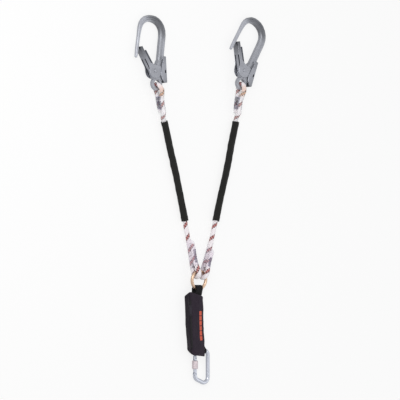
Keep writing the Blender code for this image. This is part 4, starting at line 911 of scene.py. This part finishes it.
loops = {"top": {"bar": (-0.0128, -0.24033, 0.01619), "radius": 0.00985, "length": 0.030, "slant": 0.14,
                 "away": 1.0, "width": 0.022, "shaped": spreadFoot,
                 "held": ("absorber", "ring", (-0.0128, -0.2490, 0.01619), (-0.0128, -0.2320, 0.01619))},
         "bottom": {"bar": (0.00827, -0.40603, 0.0087), "radius": 0.0072, "length": 0.028, "slant": 0.54,
                    "away": -1.0, "width": 0.024, "shaped": roundShoulder,
                    "held": ("absorber", "carabiner", (0.00527, -0.3990, 0.0087),
                             (0.00527, -0.4125, 0.0087))}}
blackWebbing = webbingFinish("blackWebbing", webbing["black"], 0.022)
for end, loop in loops.items():
    line = loopLine(loop["bar"], loop["radius"], loop["length"], loop["slant"], loop["away"])
    sweptStrap(end + "Loop", line, (1.0, 0.0, 0.0), loop["width"], blackWebbing, loop["held"],
               end + "_webbing_loop", loop["shaped"])

# Tear webbing folded to and fro inside the pouch
tear = {"layers": 8, "pitch": 0.00275, "reach": 0.04825, "offset": 0.012, "low": 0.0031, "width": 0.034,
        "spacing": 0.0014}
route = []
for layer in range(tear["layers"]):
    z = tear["low"] + layer * tear["pitch"]
    way = 1.0 if layer % 2 == 0 else -1.0
    route += [onPouch(0.0, share * way * tear["reach"] + tear["offset"], z)
              for share in (-1.0, -0.33, 0.33, 1.0)]
    if layer < tear["layers"] - 1:
        bend = tear["pitch"] / 2
        for swing in (math.radians(turn) for turn in (-60.0, -20.0, 20.0, 60.0)):
            route.append(onPouch(0.0, way * (tear["reach"] + bend * math.cos(swing)) + tear["offset"],
                                 z + bend * (1.0 + math.sin(swing))))
acrossPouch = tuple(pouchPlace.to_3x3() @ Vector((1.0, 0.0, 0.0)))
creamWebbing = webbingFinish("creamWebbing", webbing["cream"], tear["width"])
sweptStrap("tearWebbing", smoothLine(route, tear["spacing"]), acrossPouch, tear["width"], creamWebbing,
           "absorber", "tear_webbing_pack")
print("webbing is folded in")

# Forged, folded and turned pieces: copies of the solids with their sharp edges rounded off
softEdges = {"hook": (0.0013, 3), "sheet": (0.00035, 2), "small": (0.0003, 2), "merge": 0.000004, "flat": 0.8,
             "bevelFrom": 40.0, "smoothTo": 38.0}
gateCut = {"left": ((-0.1685, 0.34728, 0.01781), (-0.5001, 0.8642, -0.055)),
           "right": ((0.14455, 0.35035, 0.01781), (-0.1091, 0.9925, -0.055)), "length": 0.0791}


def softened(name, node, edge, material, body, cut=None):
    piece = bpy.data.objects.new(name, bpy.data.objects[node].data.copy())
    scene.collection.objects.link(piece)
    pickOut(piece)
    bpy.ops.object.mode_set(mode="EDIT")
    bpy.ops.mesh.select_all(action="SELECT")
    bpy.ops.mesh.remove_doubles(threshold=softEdges["merge"])
    bpy.ops.mesh.dissolve_limited(angle_limit=math.radians(softEdges["flat"]))
    if cut:
        bpy.ops.mesh.select_all(action="SELECT")
        bpy.ops.mesh.bisect(plane_co=cut[0], plane_no=cut[1], use_fill=True, clear_outer=True)
    bpy.ops.object.mode_set(mode="OBJECT")
    bevel = piece.modifiers.new("roundedEdges", "BEVEL")
    bevel.width, bevel.segments = softEdges[edge]
    bevel.angle_limit = math.radians(softEdges["bevelFrom"])
    bpy.ops.object.modifier_apply(modifier=bevel.name)
    bpy.ops.object.shade_smooth_by_angle(angle=math.radians(softEdges["smoothTo"]))
    even = piece.modifiers.new("evenShading", "WEIGHTED_NORMAL")
    even.keep_sharp = True
    bpy.ops.object.modifier_apply(modifier=even.name)
    return fit(piece, material, body, node)


for side in ("left", "right"):
    tag = side.capitalize()
    sheet = pressed[side]
    softened("hookBody" + tag, "hook_body_" + side, "hook", forged[side], "hook_" + side)
    pivot, ahead = gateCut[side]
    tip = tuple(a + b * gateCut["length"] for a, b in zip(pivot, ahead))
    softened("gate" + tag, "gate_" + side, "sheet", sheet, "gate_" + side, (tip, ahead))
    softened("palmLever" + tag, "palm_lever_" + side, "sheet", sheet, "lever_" + side)
    softened("latchPlate" + tag, "latch_plate_" + side, "small", darkSheet, "gate_" + side)
    softened("gateRivet" + tag, "gate_rivet_" + side, "small", sheet, "gate_" + side)
    softened("leverRivet" + tag, "lever_rivet_" + side, "small", sheet, "hook_" + side)

softened("carabinerGate", "carabiner_gate", "small", brightZinc, "carabiner_gate")
softened("screwSleeve", "screw_sleeve", "small", knurled, "screw_sleeve")
softened("hingePin", "carabiner_hinge_pin", "small", darkSheet, "carabiner")
softened("latchPin", "carabiner_latch_pin", "small", darkSheet, "carabiner_gate")
print("metal pieces are rounded off")

# Carabiner: one round bar. Its nose grows by steps and radii; its route is made of straight runs, and of
# bends with a radius and an angle. A tongue holds the gate's hinge, and a blade its latch.
carabiner = {"start": (-0.01473, -0.42003, 0.0087), "sides": 32, "perStep": 7.0, "noseRadius": 0.0039,
             "nose": ((0.0008, 0.0047), (0.0024, 0.0047), (0.0008, 0.0055)), "smoothTo": 50.0,
             "route": ((0.0105, 90.0), (0.0204, 0.0), (0.0140, 90.0), (0.0585, 0.0), (0.0150, 112.0),
                       (0.0182, 0.0), (0.0120, 68.0)),
             "lugs": {"hingeTongue": ((-0.01473, -0.47255, 0.0087), (0.0080, 0.0110, 0.0044)),
                      "latchBlade": ((-0.01503, -0.42355, 0.0087), (0.0066, 0.0130, 0.0032))}}


def finishPiece(piece, material, body, node, smooth=40.0):
    pickOut(piece)
    bpy.ops.object.transform_apply(location=True, rotation=True, scale=True)
    bpy.ops.object.shade_smooth_by_angle(angle=math.radians(smooth))
    return fit(piece, material, body, node)


def bentBar():
    x, y, z = carabiner["start"]
    now = carabiner["noseRadius"]
    bpy.ops.object.select_all(action="DESELECT")
    bpy.ops.mesh.primitive_circle_add(vertices=carabiner["sides"], radius=now, location=(x, y, z),
                                      rotation=(math.radians(90.0), 0.0, 0.0))
    piece = bpy.context.object
    piece.name = "carabinerBody"
    bpy.ops.object.mode_set(mode="EDIT")
    bpy.ops.mesh.select_all(action="SELECT")
    bpy.ops.mesh.edge_face_add()  # closes the nose
    bpy.ops.mesh.select_all(action="DESELECT")
    bpy.ops.mesh.select_mode(type="EDGE")
    bpy.ops.mesh.select_all(action="SELECT")
    for step, size in carabiner["nose"]:
        bpy.ops.mesh.extrude_region_move(TRANSFORM_OT_translate={"value": (0.0, step, 0.0)})
        y += step
        bpy.ops.transform.resize(value=(size / now, 1.0, size / now), center_override=(x, y, z))
        now = size
    spot = Vector((x, y, z))
    heading = 90.0
    for size, turn in carabiner["route"]:
        ahead = Vector((math.cos(math.radians(heading)), math.sin(math.radians(heading)), 0.0))
        if turn:
            inward = Vector((ahead.y, -ahead.x, 0.0)) * size
            centre = spot + inward
            swing = math.radians(turn)
            steps = int(turn / carabiner["perStep"])
            bpy.ops.mesh.spin(steps=steps, angle=swing, center=centre, axis=(0.0, 0.0, 1.0))
            spot = centre - Matrix.Rotation(-swing, 3, "Z") @ inward
            heading -= turn
        else:
            bpy.ops.mesh.extrude_region_move(TRANSFORM_OT_translate={"value": ahead * size})
            spot = spot + ahead * size
    bpy.ops.mesh.edge_face_add()  # closes the foot
    bpy.ops.mesh.select_all(action="SELECT")
    bpy.ops.mesh.remove_doubles(threshold=0.00001)
    bpy.ops.mesh.normals_make_consistent(inside=False)
    bpy.ops.object.mode_set(mode="OBJECT")
    return piece


plate = {"corner": 0.42, "cornerSteps": 5, "edge": 0.0002, "edgeSteps": 2}  # corner is a share of the side


def clearPicks(kind):
    # Nothing stays picked, so that edges or points can be picked one by one
    bpy.ops.object.mode_set(mode="EDIT")
    bpy.ops.mesh.select_mode(type=kind)
    bpy.ops.mesh.select_all(action="DESELECT")
    bpy.ops.object.mode_set(mode="OBJECT")


def lug(name, place, size, material, body, node, turn=None):
    # A flat tongue with rounded ends, cut from plate; turn sets it in the directions of a tilted piece
    bpy.ops.object.select_all(action="DESELECT")
    bpy.ops.mesh.primitive_cube_add(size=1.0, location=place, scale=size)
    piece = bpy.context.object
    piece.name = name
    bpy.ops.object.transform_apply(location=False, rotation=False, scale=True)
    clearPicks("EDGE")
    for edge in piece.data.edges:
        low, high = (piece.data.vertices[i].co for i in edge.vertices)
        edge.select = abs(high.z - low.z) > abs(high.x - low.x) + abs(high.y - low.y)
    bpy.ops.object.mode_set(mode="EDIT")
    corner = min(size[0], size[1]) * plate["corner"]
    bpy.ops.mesh.bevel(offset=corner, segments=plate["cornerSteps"], affect="EDGES")
    bpy.ops.mesh.select_all(action="SELECT")
    bpy.ops.mesh.bevel(offset=plate["edge"], segments=plate["edgeSteps"], affect="EDGES")
    bpy.ops.object.mode_set(mode="OBJECT")
    if turn:
        piece.matrix_world = turn @ piece.matrix_world
    return finishPiece(piece, material, body, node)


finishPiece(bentBar(), brightZinc, "carabiner", "carabiner_body",
            carabiner["smoothTo"])
for name, (place, size) in carabiner["lugs"].items():
    lug(name, place, size, brightZinc, "carabiner", "carabiner_body")
print("carabiner is bent")

# A dark rounded block caps each gate's cut tip; its dark colour is painted shade on the gate's upper end
tipShadeCap = {"place": (0.0757, 0.0072, 0.0004), "size": (0.0070, 0.0066, 0.0188)}
for side in ("left", "right"):
    pivot, ahead = gateCut[side]
    forward = Vector(ahead).normalized()
    aside = Vector((0.0, 0.0, 1.0)).cross(forward).normalized()
    axes = Matrix((forward, aside, forward.cross(aside))).transposed().to_4x4()
    turn = Matrix.Translation(Vector(pivot)) @ axes
    lug("gateStop" + side.capitalize(), tipShadeCap["place"], tipShadeCap["size"], darkSheet, "gate_" + side,
        "gate_" + side, turn)
print("gate tips are shaded")

# Junction ring: round wire, butt-welded where the webbing hides it; weld is half of the bead's angle
ringLook = {"centre": (-0.00893, -0.24033, 0.01619), "radius": 0.024, "wire": 0.00425, "tilt": 5.0,
            "sides": 96, "wireSides": 28, "weld": 2.5, "bead": 0.00022}
tilt = math.radians(ringLook["tilt"])
rise = Matrix.Rotation(tilt, 3, "X") @ Vector((0.0, ringLook["radius"], 0.0))
bpy.ops.object.select_all(action="DESELECT")
bpy.ops.mesh.primitive_torus_add(location=Vector(ringLook["centre"]) + rise, rotation=(tilt, 0.0, 0.0),
                                 major_segments=ringLook["sides"], minor_segments=ringLook["wireSides"],
                                 major_radius=ringLook["radius"], minor_radius=ringLook["wire"])
ringPiece = bpy.context.object
ringPiece.name = "weldedRing"
clearPicks("VERT")
for vertex in ringPiece.data.vertices:
    vertex.select = abs(math.degrees(math.atan2(vertex.co.x, -vertex.co.y))) < ringLook["weld"]
bpy.ops.object.mode_set(mode="EDIT")
bpy.ops.transform.shrink_fatten(value=ringLook["bead"])
bpy.ops.object.mode_set(mode="OBJECT")
finishPiece(ringPiece, yellowZinc, "ring", "junction_ring")
print("ring is welded")

# Zip: coil teeth on a tape, and a plastic slider with its pull
zipTape = clothFinish("zipTape", (0.006, 0.005, 0.007), threads=0.0014, relief=0.0003, roughness=0.5,
                      sheen=0.02, girth=0.02)
softened("zipChain", "zip_chain", "small", zipTape, "absorber")
zipPlastic = metalFinish("zipPlastic")
for name in ("slider", "pull"):
    softened("zip" + name.capitalize(), "zip_" + name, "small", zipPlastic, "zip_" + name)
print("zip is set in")

# Each rope is one free cord that is sewn back on itself round the hook's eye and round the ring;
# the loop below only reads each rope's piece, line and length
for side in ("left", "right"):
    piece, line, length = ropes[side]
